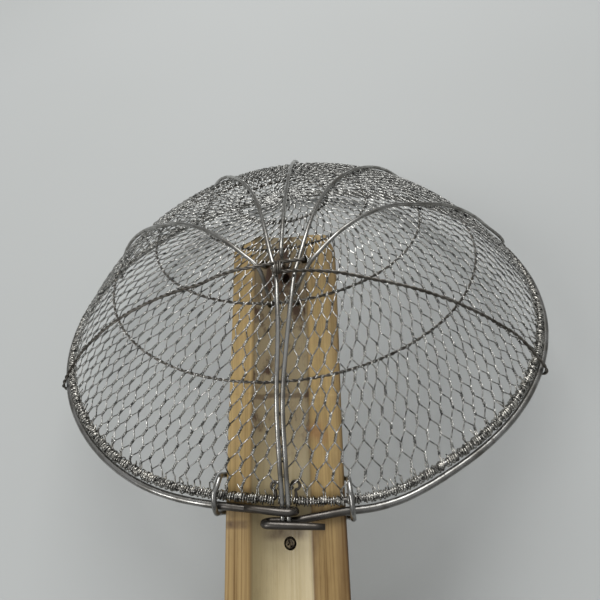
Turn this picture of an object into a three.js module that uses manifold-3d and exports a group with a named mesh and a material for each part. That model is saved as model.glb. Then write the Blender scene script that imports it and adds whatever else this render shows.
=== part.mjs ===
// Wire noodle strainer: a dome of hexagonal netting on wire hoops and ribs, lashed to a split bamboo slat.
// Millimetres. The bowl frame has its origin at the middle of the rim, +Z out of the dome, the handle at -Y.
import * as THREE from "three";
import { mergeVertices } from "three/addons/utils/BufferGeometryUtils.js";
import Module from "manifold-3d";

const wasm = await Module();
wasm.setup();

// Bowl.
const bowlRadius = 125;
const bowlDepth = 62.6;
const domePower = 2.5;

// Wire diameters.
const rimWire = 2.8;
const edgeWire = 2.0;
const bindingWire = 0.7;
const ribWire = 1.8;
const crossWire = 1.6;
const ringWire = 1.3;
const lashingWire = 1.8;
const tieWire = 0.9;

// Clearance between neighbouring wires, and the angle at which the edge hoop sits above the rim hoop.
const clearance = 0.35;
const edgeSeatAngle = THREE.MathUtils.degToRad(44);

// Netting.
const netThickness = 0.8;
const netStrand = 1.1;
const netTwistStrand = 1.6;
const netCellWidth = 17.5;
const netTwistLength = 11;
const netRowPitch = 20;
const netTurn = THREE.MathUtils.degToRad(-11);
const netBand = 1.2;
const netLeastGap = 14;
const netLeastSide = 0.1;

// Binding.
const bindingLoops = 24;
const bindingStart = 14;

// Rings of the dome, by radius.
const ringRadii = [91.4, 65, 39.7, 21.7];

// Bamboo slat.
const slatWidth = 44;
const slatLength = 350;
const slatEdgeThickness = 5.5;
const slatThickness = 8.8;
const slatBackFlat = 16;
const slatEdgeBreak = 0.8;
const channelWidth = 24;
const channelDepth = 2.2;
const slatInnerReach = 95;
const slatEndGap = 3.8;
const leftCutWidth = 11;
const leftCutLength = 10.5;
const rightCutWidth = 5;
const rightCutLength = 9;
const gripCut = 7;

// Hub: where the ribs come together over the slat.
const hubDistance = 55.5;
const hubLeft = -6.8;
const hubPairLeft = 0.5;
const hubCentre = 2.2;
const hubPairRight = 7.6;
const hubRight = 13.2;
const sideHoleLeft = -4.3;
const sideHoleRight = 7;
const sideHoleReach = 83.5;
const centreHoleDepth = 4;
const sideStart = 4.5;
const centreStart = 8.5;
const centreBend = 3.5;

// Far ends of the ribs, as directions from the bowl's middle, 0 away from the handle.
const sideRibLeftEnd = -72.5;
const sideRibRightEnd = 72.3;
const pairLeftEnd = -35;
const pairRightEnd = 39.5;
const centreRibEnd = 1.1;
const crossLeftEnd = 116.8;
const crossRightEnd = 119.8;
const pairLeftBow = 6;
const pairRightBow = -8;

// The pair over the handle and the hooked ends of the rim hoop.
const pairMiddle = 1.2;
const leftHookReach = 5;
const leftHookTail = 14;
const rightHookReach = 5.5;
const rightHookTail = 15.6;
const pairTail = 1.8;
const pairJoin = 42;
const pairSplit = 20;
const pairSpread = 0.8;
const pairShift = 2;

// Cross wires and their tie at the hub.
const crossLeftTip = 12;
const crossRightTip = -0.5;
const crossSpacing = 3.7;
const tiePlace = 4.4;
const crossRiseNear = 16;
const crossRiseFar = 38;

// Eyes at the ends of the edge hoop.
const eyeRadius = 1.8;
const eyePlace = 5;

// Lashing round the slat and the hoops.
const lashingSideGap = 1.8;

// Screw in the channel.
const screwPlace = 1.5;
const screwReach = -7.3;
const screwHeadRadius = 2.1;
const screwHeadHeight = 1.5;
const screwShankRadius = 1.1;
const screwShankLength = 3.4;
const screwRecess = 0.7;

// Derived places.
const rimRadius = rimWire / 2;
const ribRadius = ribWire / 2;
const crossRadius = crossWire / 2;
const lashingRadius = lashingWire / 2;
const wrapRadius = edgeWire / 2 + clearance + bindingWire / 2;
const wrapOuter = wrapRadius + bindingWire / 2;
const edgeDistance = rimRadius + clearance + wrapOuter;
const edgeHoopRadius = bowlRadius - edgeDistance * Math.cos(edgeSeatAngle);
const edgeHoopHeight = edgeDistance * Math.sin(edgeSeatAngle);
const netEdgeDistance = wrapOuter + clearance + netThickness;
const netEdgeRadius = edgeHoopRadius - netEdgeDistance * Math.cos(edgeSeatAngle);
const ribLift = netThickness / 2 + clearance + ribRadius + 0.15;
const tieReach = crossRadius + clearance + tieWire / 2 + 0.15;
const hubCrossLift = ribLift + ribRadius + clearance + tieWire / 2 + tieReach;
const crossLift = netThickness / 2 + clearance + crossRadius + 0.15;
const ringDrop = netThickness / 2 + clearance + ringWire / 2 + 0.1;
const lashSide = slatWidth / 2 + lashingSideGap + lashingRadius;
const hookStep = rimRadius + clearance + ribRadius;
const pairGap = ribWire + clearance;

const domeHeight = (r) => bowlDepth * (1 - (r / bowlRadius) ** domePower);

// The slat's edges lie under the rim hoop, and its inner end a set gap below the dome.
const rimSag = bowlRadius - Math.sqrt(bowlRadius ** 2 - (slatWidth / 2) ** 2);
const slatRiseAt = (slope) => -(rimRadius + clearance) / Math.cos(slope) - rimSag * Math.tan(slope);
let slatSlope = 0;
for (let i = 0; i < 20; i += 1) {
  const rise = domeHeight(bowlRadius - slatInnerReach) - slatEndGap - slatRiseAt(slatSlope);
  slatSlope = Math.atan2(rise, slatInnerReach);
}
const slatRise = slatRiseAt(slatSlope);
const slatInnerEnd = slatInnerReach / Math.cos(slatSlope);

const domeSlope = (r) => (-bowlDepth * domePower / bowlRadius) * (r / bowlRadius) ** (domePower - 1);
const polar = (r, degrees) => {
  const angle = THREE.MathUtils.degToRad(degrees);
  return new THREE.Vector2(r * Math.sin(angle), r * Math.cos(angle));
};

// A point at a given lift along the dome's normal above plan place x, y.
function domePoint(x, y, lift) {
  const r = Math.hypot(x, y);
  const slope = domeSlope(r);
  const scale = lift / Math.hypot(1, slope);
  const outX = r > 1e-6 ? x / r : 0;
  const outY = r > 1e-6 ? y / r : 0;
  return new THREE.Vector3(x - slope * scale * outX, y - slope * scale * outY, domeHeight(r) + scale);
}

// A point by the slat: across, along the slat toward the hub, and out of its front face.
function slatPoint(across, along, out) {
  const c = Math.cos(slatSlope);
  const s = Math.sin(slatSlope);
  return new THREE.Vector3(across, -bowlRadius + along * c - out * s, slatRise + along * s + out * c);
}

// A point in the upright plane through the bowl's axis at a direction in degrees.
function meridianPoint(degrees, r, z) {
  const plan = polar(r, degrees);
  return new THREE.Vector3(plan.x, plan.y, z);
}

// A wire's centre line through given points, each kept as a section.
class WirePath extends THREE.Curve {
  constructor(points) {
    super();
    this.points = points;
  }
  getPoint(t, target = new THREE.Vector3()) {
    const last = this.points.length - 1;
    const place = t * last;
    const index = Math.min(Math.floor(place), last - 1);
    return target.copy(this.points[index]).lerp(this.points[index + 1], place - index);
  }
  getPointAt(u, target) {
    return this.getPoint(u, target);
  }
  getTangentAt(u, target = new THREE.Vector3()) {
    const last = this.points.length - 1;
    const index = Math.round(u * last);
    const before = this.points[Math.max(index - 1, 0)];
    const here = this.points[index];
    const after = this.points[Math.min(index + 1, last)];
    const into = here.clone().sub(before).normalize();
    const outOf = after.clone().sub(here).normalize();
    return target.copy(into).add(outOf).normalize();
  }
}

// Points along a smooth curve through control points, a given step apart.
function smoothPoints(controls, step) {
  const curve = new THREE.CatmullRomCurve3(controls, false, "centripetal");
  const count = Math.max(2, Math.round(curve.getLength() / step));
  return curve.getSpacedPoints(count);
}

// Flips a closed geometry whose faces point inward.
function outward(geometry) {
  const bare = geometry.clone();
  bare.deleteAttribute("normal");
  bare.deleteAttribute("uv");
  const merged = mergeVertices(bare, 1e-4);
  const place = merged.getAttribute("position");
  const index = merged.getIndex().array;
  const corners = [new THREE.Vector3(), new THREE.Vector3(), new THREE.Vector3()];
  let volume = 0;
  for (let i = 0; i < index.length; i += 3) {
    corners.forEach((corner, k) => corner.fromBufferAttribute(place, index[i + k]));
    volume += corners[0].dot(corners[1].clone().cross(corners[2]));
  }
  if (volume < 0) {
    for (let i = 0; i < index.length; i += 3) {
      [index[i + 1], index[i + 2]] = [index[i + 2], index[i + 1]];
    }
  }
  merged.computeVertexNormals();
  return merged;
}

// A closed wire with flat ends along given points.
function wire(points, radius, sides) {
  const section = [];
  for (let i = 0; i < sides; i += 1) {
    const angle = (2 * Math.PI * i) / sides;
    section.push(new THREE.Vector2(radius * Math.cos(angle), radius * Math.sin(angle)));
  }
  const geometry = new THREE.ExtrudeGeometry(new THREE.Shape(section), {
    steps: points.length - 1,
    extrudePath: new WirePath(points),
  });
  return outward(geometry);
}

// A wire that closes on itself.
function loopWire(controls, steps, radius, sides) {
  const curve = new THREE.CatmullRomCurve3(controls, true, "centripetal");
  return outward(new THREE.TubeGeometry(curve, steps, radius, sides, true));
}

const toSolid = (geometry) => {
  const bare = outward(geometry);
  bare.deleteAttribute("normal");
  return new wasm.Manifold(new wasm.Mesh({
    numProp: 3,
    vertProperties: Float32Array.from(bare.getAttribute("position").array),
    triVerts: Uint32Array.from(bare.getIndex().array),
  }));
};

const cutSolid = (whole, cutters) => {
  let solid = whole;
  cutters.forEach((cutter) => {
    solid = solid.subtract(toSolid(cutter));
  });
  const mesh = solid.getMesh();
  const result = new THREE.BufferGeometry();
  result.setAttribute("position", new THREE.BufferAttribute(mesh.vertProperties, 3));
  result.setIndex(new THREE.BufferAttribute(mesh.triVerts, 1));
  result.computeVertexNormals();
  return result;
};

const cut = (geometry, cutters) => cutSolid(toSolid(geometry), cutters);

// Over the edge hoop, round the rim hoop and up inside it.
function rimHook(degrees, radius) {
  const overEdge = wrapOuter + clearance + radius + 0.1;
  const roundRim = rimRadius + clearance + radius + 0.05;
  const top = THREE.MathUtils.degToRad(52);
  const points = [meridianPoint(
    degrees,
    edgeHoopRadius + overEdge * Math.cos(top),
    edgeHoopHeight + overEdge * Math.sin(top),
  )];
  [35, 0, -38, -76, -114, -150].forEach((turn) => {
    const angle = THREE.MathUtils.degToRad(turn);
    points.push(meridianPoint(
      degrees,
      bowlRadius + roundRim * Math.cos(angle),
      roundRim * Math.sin(angle),
    ));
  });
  return points;
}

// Where a rib leaves the dome for its hook.
const hookRun = 3 * wrapOuter + 2 * ribWire + 2;
const ribLanding = (degrees) => polar(bowlRadius - hookRun, degrees);

// A rib over the dome from a hub place to the far rim, bowed sideways by a given amount.
function ribOverDome(startX, startY, degrees, bow, step) {
  const end = ribLanding(degrees);
  const start = new THREE.Vector2(startX, startY);
  const run = end.clone().sub(start);
  const side = new THREE.Vector2(run.y, -run.x).normalize();
  const middle = start.clone().lerp(end, 0.5).addScaledVector(side, bow);
  const plan = [start, middle, end].map((p) => new THREE.Vector3(p.x, p.y, 0));
  return smoothPoints(plan, step)
    .map((p) => domePoint(p.x, p.y, ribLift))
    .concat(rimHook(degrees, ribRadius));
}

const ribStep = 9;

// Rim hoop: a hook, the round, and a second hook lower on the handle.
const handleDown = new THREE.Vector3(0, -Math.cos(slatSlope), -Math.sin(slatSlope));
const handleOut = new THREE.Vector3(0, -Math.sin(slatSlope), Math.cos(slatSlope));
const hookSpacing = 2 * rimWire + clearance + 0.8;
const leftHookBase = new THREE.Vector3(0, -bowlRadius, 0);
const rightHookBase = leftHookBase.clone().addScaledVector(handleDown, hookSpacing);

function hookAt(base, x, turn) {
  const angle = THREE.MathUtils.degToRad(turn);
  const out = hookStep * (1 - Math.cos(angle));
  const along = hookStep * Math.sin(angle);
  const point = base.clone().addScaledVector(handleOut, out);
  point.x = x + along;
  return point;
}

function rimHoopPoints() {
  const points = [hookAt(leftHookBase, -leftHookTail, 180)];
  [180, 150, 120, 90, 60, 30, 0].forEach((turn) => {
    points.push(hookAt(leftHookBase, leftHookReach, turn));
  });
  const startAngle = 180 + 6;
  const endAngle = 540 - THREE.MathUtils.radToDeg(Math.asin((lashSide - lashingWire - 1.2) / bowlRadius));
  const steps = 72;
  for (let i = 0; i <= steps; i += 1) {
    points.push(meridianPoint(startAngle + ((endAngle - startAngle) * i) / steps, bowlRadius, 0));
  }
  const join = points[points.length - 1];
  const landing = rightHookBase.clone().setX(rightHookReach);
  [0.3, 0.6, 0.85, 1].forEach((part) => {
    const point = join.clone().lerp(landing, part);
    point.z = Math.min(0, (point.y + bowlRadius) * Math.tan(slatSlope));
    points.push(point);
  });
  [0, 30, 60, 90, 120, 150, 180].forEach((turn) => {
    const point = hookAt(rightHookBase, 0, turn);
    point.x = -rightHookReach - point.x;
    points.push(point);
  });
  points.push(hookAt(rightHookBase, rightHookTail, 180));
  return points;
}

// Edge hoop with a curled eye at each end.
function edgeHoopPoints() {
  const eyeOut = new THREE.Vector3(0, -Math.sin(edgeSeatAngle), Math.cos(edgeSeatAngle));
  const end = new THREE.Vector3(0, -edgeHoopRadius, edgeHoopHeight);
  const eye = (side) => {
    const list = [];
    for (let i = 0; i <= 8; i += 1) {
      const angle = (i / 8) * Math.PI * 1.5;
      const point = end.clone().addScaledVector(eyeOut, eyeRadius * (1 - Math.cos(angle)));
      point.x = side * (eyePlace + eyeRadius - eyeRadius * Math.sin(angle));
      list.push(point);
    }
    return list;
  };
  const start = THREE.MathUtils.radToDeg(Math.asin((eyePlace + 2 * eyeRadius + 1) / edgeHoopRadius));
  const steps = 80;
  const round = [];
  for (let i = 0; i <= steps; i += 1) {
    const degrees = 180 + start + ((360 - 2 * start) * i) / steps;
    round.push(meridianPoint(degrees, edgeHoopRadius, edgeHoopHeight));
  }
  return [...eye(-1).reverse(), ...round, ...eye(1)];
}

// Binding: one unbroken winding round the edge hoop, and the least gap between its turns.
function bindingPoints() {
  const start = THREE.MathUtils.radToDeg(Math.asin(bindingStart / edgeHoopRadius));
  const steps = bindingLoops * 8;
  const points = [];
  for (let i = 0; i <= steps; i += 1) {
    const degrees = 180 + start + ((360 - 2 * start) * i) / steps;
    const turn = (i / 8) * 2 * Math.PI;
    points.push(meridianPoint(
      degrees,
      edgeHoopRadius + wrapRadius * Math.cos(turn),
      edgeHoopHeight + wrapRadius * Math.sin(turn),
    ));
  }
  return points;
}

function leastGap(points, skip, diameter) {
  let least = Infinity;
  for (let i = 0; i < points.length; i += 1) {
    for (let k = i + skip; k < points.length; k += 1) {
      least = Math.min(least, points[i].distanceTo(points[k]));
    }
  }
  return least - diameter;
}

// Arc length from the top of the dome, and its inverse.
const arcSteps = 600;
const arcTable = [0];
for (let i = 1; i <= arcSteps; i += 1) {
  const from = (netEdgeRadius * (i - 1)) / arcSteps;
  const to = (netEdgeRadius * i) / arcSteps;
  arcTable.push(arcTable[i - 1] + Math.hypot(to - from, domeHeight(to) - domeHeight(from)));
}
const sheetRadius = arcTable[arcSteps];

function radiusAtArc(arc) {
  let low = 0;
  let high = arcSteps;
  while (high - low > 1) {
    const middle = (low + high) >> 1;
    if (arcTable[middle] <= arc) {
      low = middle;
    } else {
      high = middle;
    }
  }
  const part = (arc - arcTable[low]) / (arcTable[high] - arcTable[low]);
  return (netEdgeRadius * (low + part)) / arcSteps;
}

// Moves each side of a convex outline inward by its own amount.
function inset(outline, amounts) {
  const count = outline.length;
  const lines = outline.map((p, i) => {
    const next = outline[(i + 1) % count];
    const along = next.clone().sub(p).normalize();
    const inwards = new THREE.Vector2(-along.y, along.x);
    return { base: p.clone().addScaledVector(inwards, amounts[i]), along };
  });
  return lines.map((line, i) => {
    const before = lines[(i + count - 1) % count];
    const cross = before.along.cross(line.along);
    const gap = line.base.clone().sub(before.base);
    const reach = gap.cross(line.along) / cross;
    return before.base.clone().addScaledVector(before.along, reach);
  });
}

// Keeps the part of a convex outline inside a round polygon.
function clipRound(outline, radius, sides) {
  let kept = outline;
  for (let i = 0; i < sides && kept.length > 0; i += 1) {
    const angle = (2 * Math.PI * i) / sides;
    const normal = new THREE.Vector2(Math.cos(angle), Math.sin(angle));
    const next = [];
    kept.forEach((p, k) => {
      const q = kept[(k + 1) % kept.length];
      const insideP = radius - p.dot(normal);
      const insideQ = radius - q.dot(normal);
      if (insideP >= 0) {
        next.push(p);
      }
      if (insideP * insideQ < 0) {
        next.push(p.clone().lerp(q, insideP / (insideP - insideQ)));
      }
    });
    kept = next;
  }
  return kept.filter((p, k) => p.distanceTo(kept[(k + 1) % kept.length]) > netLeastSide);
}

const outlineArea = (outline) => Math.abs(THREE.ShapeUtils.area(outline));

// The flat sheet of netting, then bent onto the dome along its arc.
function netSheet() {
  const sides = 72;
  const rim = [];
  for (let i = 0; i < sides; i += 1) {
    const angle = (2 * Math.PI * (i + 0.5)) / sides;
    rim.push(new THREE.Vector2(sheetRadius * Math.cos(angle), sheetRadius * Math.sin(angle)));
  }
  const outlines = [rim];
  const diagonalRise = netRowPitch - netTwistLength;
  const half = netCellWidth / 2;
  const cell = [
    new THREE.Vector2(half, -netTwistLength / 2),
    new THREE.Vector2(half, netTwistLength / 2),
    new THREE.Vector2(0, netTwistLength / 2 + diagonalRise),
    new THREE.Vector2(-half, netTwistLength / 2),
    new THREE.Vector2(-half, -netTwistLength / 2),
    new THREE.Vector2(0, -netTwistLength / 2 - diagonalRise),
  ];
  const thin = netStrand / 2;
  const thick = netTwistStrand / 2;
  const opening = inset(cell, [thick, thin, thin, thick, thin, thin]);
  const rows = Math.ceil(sheetRadius / netRowPitch) + 1;
  const columns = Math.ceil(sheetRadius / netCellWidth) + 1;
  const origin = new THREE.Vector2();
  for (let row = -rows; row <= rows; row += 1) {
    for (let column = -columns; column <= columns; column += 1) {
      const shift = new THREE.Vector2(
        (column + (row % 2 === 0 ? 0 : 0.5)) * netCellWidth,
        row * netRowPitch,
      );
      const placed = opening.map((p) => p.clone().add(shift).rotateAround(origin, netTurn));
      const clipped = clipRound(placed, sheetRadius * Math.cos(Math.PI / sides) - netBand, sides);
      if (clipped.length >= 3 && outlineArea(clipped) > netLeastGap) {
        outlines.push(clipped);
      }
    }
  }
  const section = new wasm.CrossSection(outlines.map((line) => line.map((p) => [p.x, p.y])), "EvenOdd");
  const solid = section.extrude(netThickness).warp((place) => {
    const arc = Math.hypot(place[0], place[1]);
    const r = radiusAtArc(Math.min(arc, sheetRadius));
    const scale = arc > 1e-6 ? r / arc : 1;
    const bent = domePoint(place[0] * scale, place[1] * scale, place[2] - netThickness / 2);
    [place[0], place[1], place[2]] = [bent.x, bent.y, bent.z];
  });
  return { solid, gaps: outlines.length - 1 };
}

// Ribs.
function pairRibPoints(offset, hubX, degrees, bow) {
  const x = pairMiddle + offset;
  const over = hubPlan(hubX);
  const near = domePoint(x, -(bowlRadius - hookRun), ribLift);
  const upperHook = leftHookBase.clone().addScaledVector(handleOut, hookStep).setX(x);
  const lowerHook = rightHookBase.clone().addScaledVector(handleOut, hookStep).setX(x);
  const tail = lowerHook.clone().addScaledVector(handleDown, pairTail).setX(x);
  const handlePlan = [
    new THREE.Vector3(x, near.y + 4, 0),
    new THREE.Vector3(x, -hubDistance - pairJoin, 0),
    new THREE.Vector3(x + pairShift + Math.sign(offset) * pairSpread, -hubDistance - pairSplit, 0),
    over,
  ];
  const climb = smoothPoints(handlePlan, ribStep).map((p) => domePoint(p.x, p.y, ribLift));
  climb.pop();
  return [tail, lowerHook, upperHook, near, ...climb, ...ribOverDome(over.x, over.y, degrees, bow, ribStep)];
}

function hubPlan(x) {
  return new THREE.Vector3(x, -hubDistance, 0);
}

// The centre rib turns down through the net into a blind hole in the slat.
const centreTop = domePoint(hubCentre, -hubDistance + centreStart, ribLift);
const centreAlong = (() => {
  const back = centreTop.clone().sub(slatPoint(0, 0, 0));
  return back.y * Math.cos(slatSlope) + back.z * Math.sin(slatSlope);
})();
const centreDown = [
  slatPoint(hubCentre, centreAlong, -channelDepth - centreHoleDepth + 0.4),
  slatPoint(hubCentre, centreAlong, 1),
  slatPoint(hubCentre, centreAlong + 0.2, 5.5),
  slatPoint(hubCentre, centreAlong + 0.9, 7.6),
];
const centreStartY = -hubDistance + centreStart + centreBend;
const centreRib = [...centreDown, ...ribOverDome(hubCentre, centreStartY, centreRibEnd, 0, ribStep)];

// The side rib comes down at the hub, goes through the slat, behind it and out again.
const backOut = -slatThickness - clearance - ribRadius - 0.1;
const downLeg = (x) => [
  slatPoint(x, sideHoleReach + 1.6, 4.4),
  slatPoint(x, sideHoleReach + 0.2, 1.4),
  slatPoint(x, sideHoleReach, -1),
  slatPoint(x, sideHoleReach, -slatThickness + 1.4),
];
const sideLegLeft = downLeg(sideHoleLeft);
const sideLegRight = downLeg(sideHoleRight);
const behind = [
  slatPoint(sideHoleLeft + 0.1, sideHoleReach, -slatThickness - clearance),
  slatPoint(sideHoleLeft + ribRadius * 0.7, sideHoleReach, backOut),
  slatPoint(sideHoleLeft + ribWire, sideHoleReach, backOut - clearance),
  slatPoint(sideHoleRight - ribWire, sideHoleReach, backOut - clearance),
  slatPoint(sideHoleRight - ribRadius * 0.7, sideHoleReach, backOut),
  slatPoint(sideHoleRight - 0.1, sideHoleReach, -slatThickness - clearance),
];
const sideLeft = ribOverDome(hubLeft, -hubDistance + sideStart, sideRibLeftEnd, 0, ribStep);
const sideRight = ribOverDome(hubRight, -hubDistance + sideStart, sideRibRightEnd, 0, ribStep);
const sideRib = [
  ...sideLeft.reverse(),
  ...sideLegLeft,
  ...behind,
  ...sideLegRight.reverse(),
  ...sideRight,
];

// Cross wires, lifted over the ribs at the hub.
function crossPoints(tip, tipY, side, end) {
  const landing = ribLanding(side * end);
  const plan = [
    new THREE.Vector3(tip, tipY, 0),
    new THREE.Vector3(hubCentre + side * crossRiseNear, tipY, 0),
    new THREE.Vector3(landing.x, landing.y, 0),
  ];
  const points = smoothPoints(plan, ribStep).map((p) => {
    const near = THREE.MathUtils.smoothstep(Math.abs(p.x - hubCentre), crossRiseNear, crossRiseFar);
    return domePoint(p.x, p.y, THREE.MathUtils.lerp(hubCrossLift, crossLift, near));
  });
  return points.concat(rimHook(side * end, crossRadius));
}
const crossLeftY = -hubDistance + crossSpacing / 2;
const crossRightY = -hubDistance - crossSpacing / 2;

// Tie round the two cross wires.
function tieControls() {
  const centre = domePoint(tiePlace, -hubDistance, hubCrossLift);
  const up = domePoint(tiePlace, -hubDistance, hubCrossLift + 1).sub(centre);
  const along = up.clone().cross(new THREE.Vector3(1, 0, 0)).normalize();
  const half = crossSpacing / 2;
  const controls = [];
  [-1, 1].forEach((side) => {
    for (let i = 0; i <= 4; i += 1) {
      const angle = (side > 0 ? -Math.PI / 2 : Math.PI / 2) + (i / 4) * Math.PI;
      controls.push(centre.clone()
        .addScaledVector(along, side * half + tieReach * Math.cos(angle))
        .addScaledVector(up, tieReach * Math.sin(angle)));
    }
  });
  return controls;
}

// Lashing: over both hoops beside the slat and behind the slat, inside and outside the rim.
function lashingControls() {
  const toSlat = (r, z) => {
    const y = -Math.sqrt(r * r - lashSide * lashSide);
    const rise = z - slatRise;
    const back = y + bowlRadius;
    return {
      along: back * Math.cos(slatSlope) + rise * Math.sin(slatSlope),
      out: -back * Math.sin(slatSlope) + rise * Math.cos(slatSlope),
    };
  };
  const rim = toSlat(bowlRadius, 0);
  const edge = toSlat(edgeHoopRadius, edgeHoopHeight);
  const overRim = rimRadius + clearance + lashingRadius;
  const overEdge = wrapOuter + clearance + lashingRadius + 0.2;
  const outer = rim.along - overRim - 0.6;
  const inner = edge.along + overEdge + netBand + 1.4;
  const backEdge = -slatEdgeThickness - clearance - lashingRadius;
  const backMiddle = -slatThickness - clearance - lashingRadius - 0.2;
  const flat = slatBackFlat / 2 + 4;
  const half = slatWidth / 2;
  const over = (x) => [
    slatPoint(x, inner - 0.4, edge.out + 1.2),
    slatPoint(x, edge.along + 2.4, edge.out + overEdge - 0.2),
    slatPoint(x, edge.along, edge.out + overEdge + 0.1),
    slatPoint(x, rim.along, rim.out + overRim + 0.9),
    slatPoint(x, outer + 0.5, rim.out + 1),
  ];
  const under = (along, side) => [
    slatPoint(side * (lashSide - 0.2), along, -slatEdgeThickness / 2),
    slatPoint(side * (half - 0.4), along, backEdge - 0.7),
    slatPoint(side * flat, along, backMiddle - 0.1),
    slatPoint(0, along, backMiddle),
    slatPoint(-side * flat, along, backMiddle - 0.1),
    slatPoint(-side * (half - 0.4), along, backEdge - 0.7),
    slatPoint(-side * (lashSide - 0.2), along, -slatEdgeThickness / 2),
  ];
  return [
    ...over(-lashSide),
    ...under(outer, -1),
    ...over(lashSide).reverse(),
    ...under(inner, 1),
  ];
}

// Slat: section across, swept along, corners cut at both ends, bored for the wires and the screw.
function slatGeometry(cutters) {
  const half = slatWidth / 2;
  const section = new THREE.Shape();
  section.moveTo(-half + slatEdgeBreak, 0);
  section.lineTo(-channelWidth / 2, 0);
  for (let i = 1; i < 8; i += 1) {
    const part = -1 + i / 4;
    section.lineTo((part * channelWidth) / 2, -channelDepth * (1 - part * part));
  }
  section.lineTo(channelWidth / 2, 0);
  section.lineTo(half - slatEdgeBreak, 0);
  section.lineTo(half, -slatEdgeBreak);
  section.lineTo(half, -slatEdgeThickness);
  const flat = slatBackFlat / 2;
  const drop = slatThickness - slatEdgeThickness;
  const backSteps = 3;
  for (let i = backSteps - 1; i >= 0; i -= 1) {
    const part = i / backSteps;
    section.lineTo(flat + (half - flat) * part, -slatEdgeThickness - drop * (1 - part * part));
  }
  for (let i = 0; i <= backSteps; i += 1) {
    const part = i / backSteps;
    section.lineTo(-flat - (half - flat) * part, -slatEdgeThickness - drop * (1 - part * part));
  }
  section.lineTo(-half, -slatEdgeBreak);
  const bar = new THREE.ExtrudeGeometry(section, { depth: slatLength, bevelEnabled: false });
  bar.rotateX(Math.PI / 2);
  bar.translate(0, slatInnerEnd, 0);
  const corner = (side, width, length, end, inward) => {
    const low = new THREE.Vector2(side * half, end + inward * length);
    const high = new THREE.Vector2(side * (half - width), end);
    const run = high.clone().sub(low);
    const a = low.clone().addScaledVector(run, -0.4);
    const b = high.clone().addScaledVector(run, 0.4);
    const wedge = new THREE.ExtrudeGeometry(
      new THREE.Shape([a, b, new THREE.Vector2(a.x, b.y)]),
      { depth: 4 * slatThickness, bevelEnabled: false },
    );
    wedge.translate(0, 0, -3 * slatThickness);
    return wedge;
  };
  const gripEnd = slatInnerEnd - slatLength;
  return cut(bar, [
    corner(-1, leftCutWidth, leftCutLength, slatInnerEnd, -1),
    corner(1, rightCutWidth, rightCutLength, slatInnerEnd, -1),
    corner(-1, gripCut, gripCut, gripEnd, 1),
    corner(1, gripCut, gripCut, gripEnd, 1),
    ...cutters,
  ]);
}

const bore = (x, along, radius, from, to) => {
  const hole = new THREE.CylinderGeometry(radius, radius, to - from, 10);
  hole.rotateX(Math.PI / 2);
  hole.translate(x, along, (from + to) / 2);
  return hole;
};

// Screw: pan head with a cross recess.
const screwSeat = -channelDepth - screwHeadHeight - 0.2;
function screwGeometry() {
  const profile = [
    new THREE.Vector2(0, -screwShankLength),
    new THREE.Vector2(screwShankRadius * 0.5, -screwShankLength),
    new THREE.Vector2(screwShankRadius, -screwShankLength + screwShankRadius),
    new THREE.Vector2(screwShankRadius, 0),
    new THREE.Vector2(screwHeadRadius, 0),
    new THREE.Vector2(screwHeadRadius, screwHeadHeight * 0.55),
    new THREE.Vector2(screwHeadRadius * 0.7, screwHeadHeight),
    new THREE.Vector2(0, screwHeadHeight),
  ];
  const body = new THREE.LatheGeometry(profile, 16);
  body.rotateX(Math.PI / 2);
  const slot = (turn) => {
    const box = new THREE.BoxGeometry(screwHeadRadius * 1.2, screwRecess, screwHeadHeight);
    box.rotateZ(turn);
    box.translate(0, 0, screwHeadHeight);
    return box;
  };
  return cut(body, [slot(0.5), slot(0.5 + Math.PI / 2)]);
}

// Assembly.
const strainer = new THREE.Group();
const rest = new THREE.Group();
const handle = new THREE.Group();
strainer.add(rest);
rest.add(handle);
handle.position.set(0, -bowlRadius, slatRise);
handle.rotation.x = slatSlope;

const steel = { color: 0x6d6a64, roughness: 0.42, metalness: 0.85 };
const darkSteel = { color: 0x3f3a35, roughness: 0.6, metalness: 0.7 };
const bamboo = { color: 0xb08a55, roughness: 0.7, metalness: 0 };

function piece(parent, name, geometry, finish) {
  const mesh = new THREE.Mesh(geometry, new THREE.MeshStandardMaterial(finish));
  mesh.name = name;
  parent.add(mesh);
  return mesh;
}

const lashing = loopWire(lashingControls(), 64, lashingRadius, 6);
const lashingClear = loopWire(lashingControls(), 64, lashingRadius + clearance, 8);
const legClear = (hubPoint, leg) => wire([hubPoint, ...leg.slice(0, 2)], ribRadius + clearance, 8);

const holeRadius = ribRadius + clearance;
const through = [-slatThickness - 2, 2];
piece(handle, "handle_slat", slatGeometry([
  bore(sideHoleLeft, sideHoleReach, holeRadius, ...through),
  bore(sideHoleRight, sideHoleReach, holeRadius, ...through),
  bore(hubCentre, centreAlong, holeRadius, -channelDepth - centreHoleDepth, 2),
  bore(screwPlace, screwReach, screwHeadRadius + clearance, screwSeat - clearance, 2),
  bore(screwPlace, screwReach, screwShankRadius + clearance, screwSeat - screwShankLength - clearance, 0),
]), bamboo);
const screw = piece(handle, "handle_screw", screwGeometry(), steel);
screw.position.set(screwPlace, screwReach, screwSeat);

piece(rest, "rim_hoop", wire(rimHoopPoints(), rimRadius, 6), steel);
piece(rest, "edge_hoop", wire(edgeHoopPoints(), edgeWire / 2, 6), steel);
const winding = bindingPoints();
console.log("edge_binding least gap mm", leastGap(winding, 5, bindingWire).toFixed(2));
piece(rest, "edge_binding", wire(winding, bindingWire / 2, 5), darkSteel);

const net = netSheet();
console.log("net gaps", net.gaps);
const centreClear = wire([...centreDown.slice(1), centreRib[centreDown.length]], holeRadius, 8);
piece(rest, "net", cutSolid(net.solid, [
  lashingClear,
  legClear(sideLeft[sideLeft.length - 1], downLeg(sideHoleLeft)),
  legClear(sideRight[0], downLeg(sideHoleRight)),
  centreClear,
]), steel);

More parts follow.
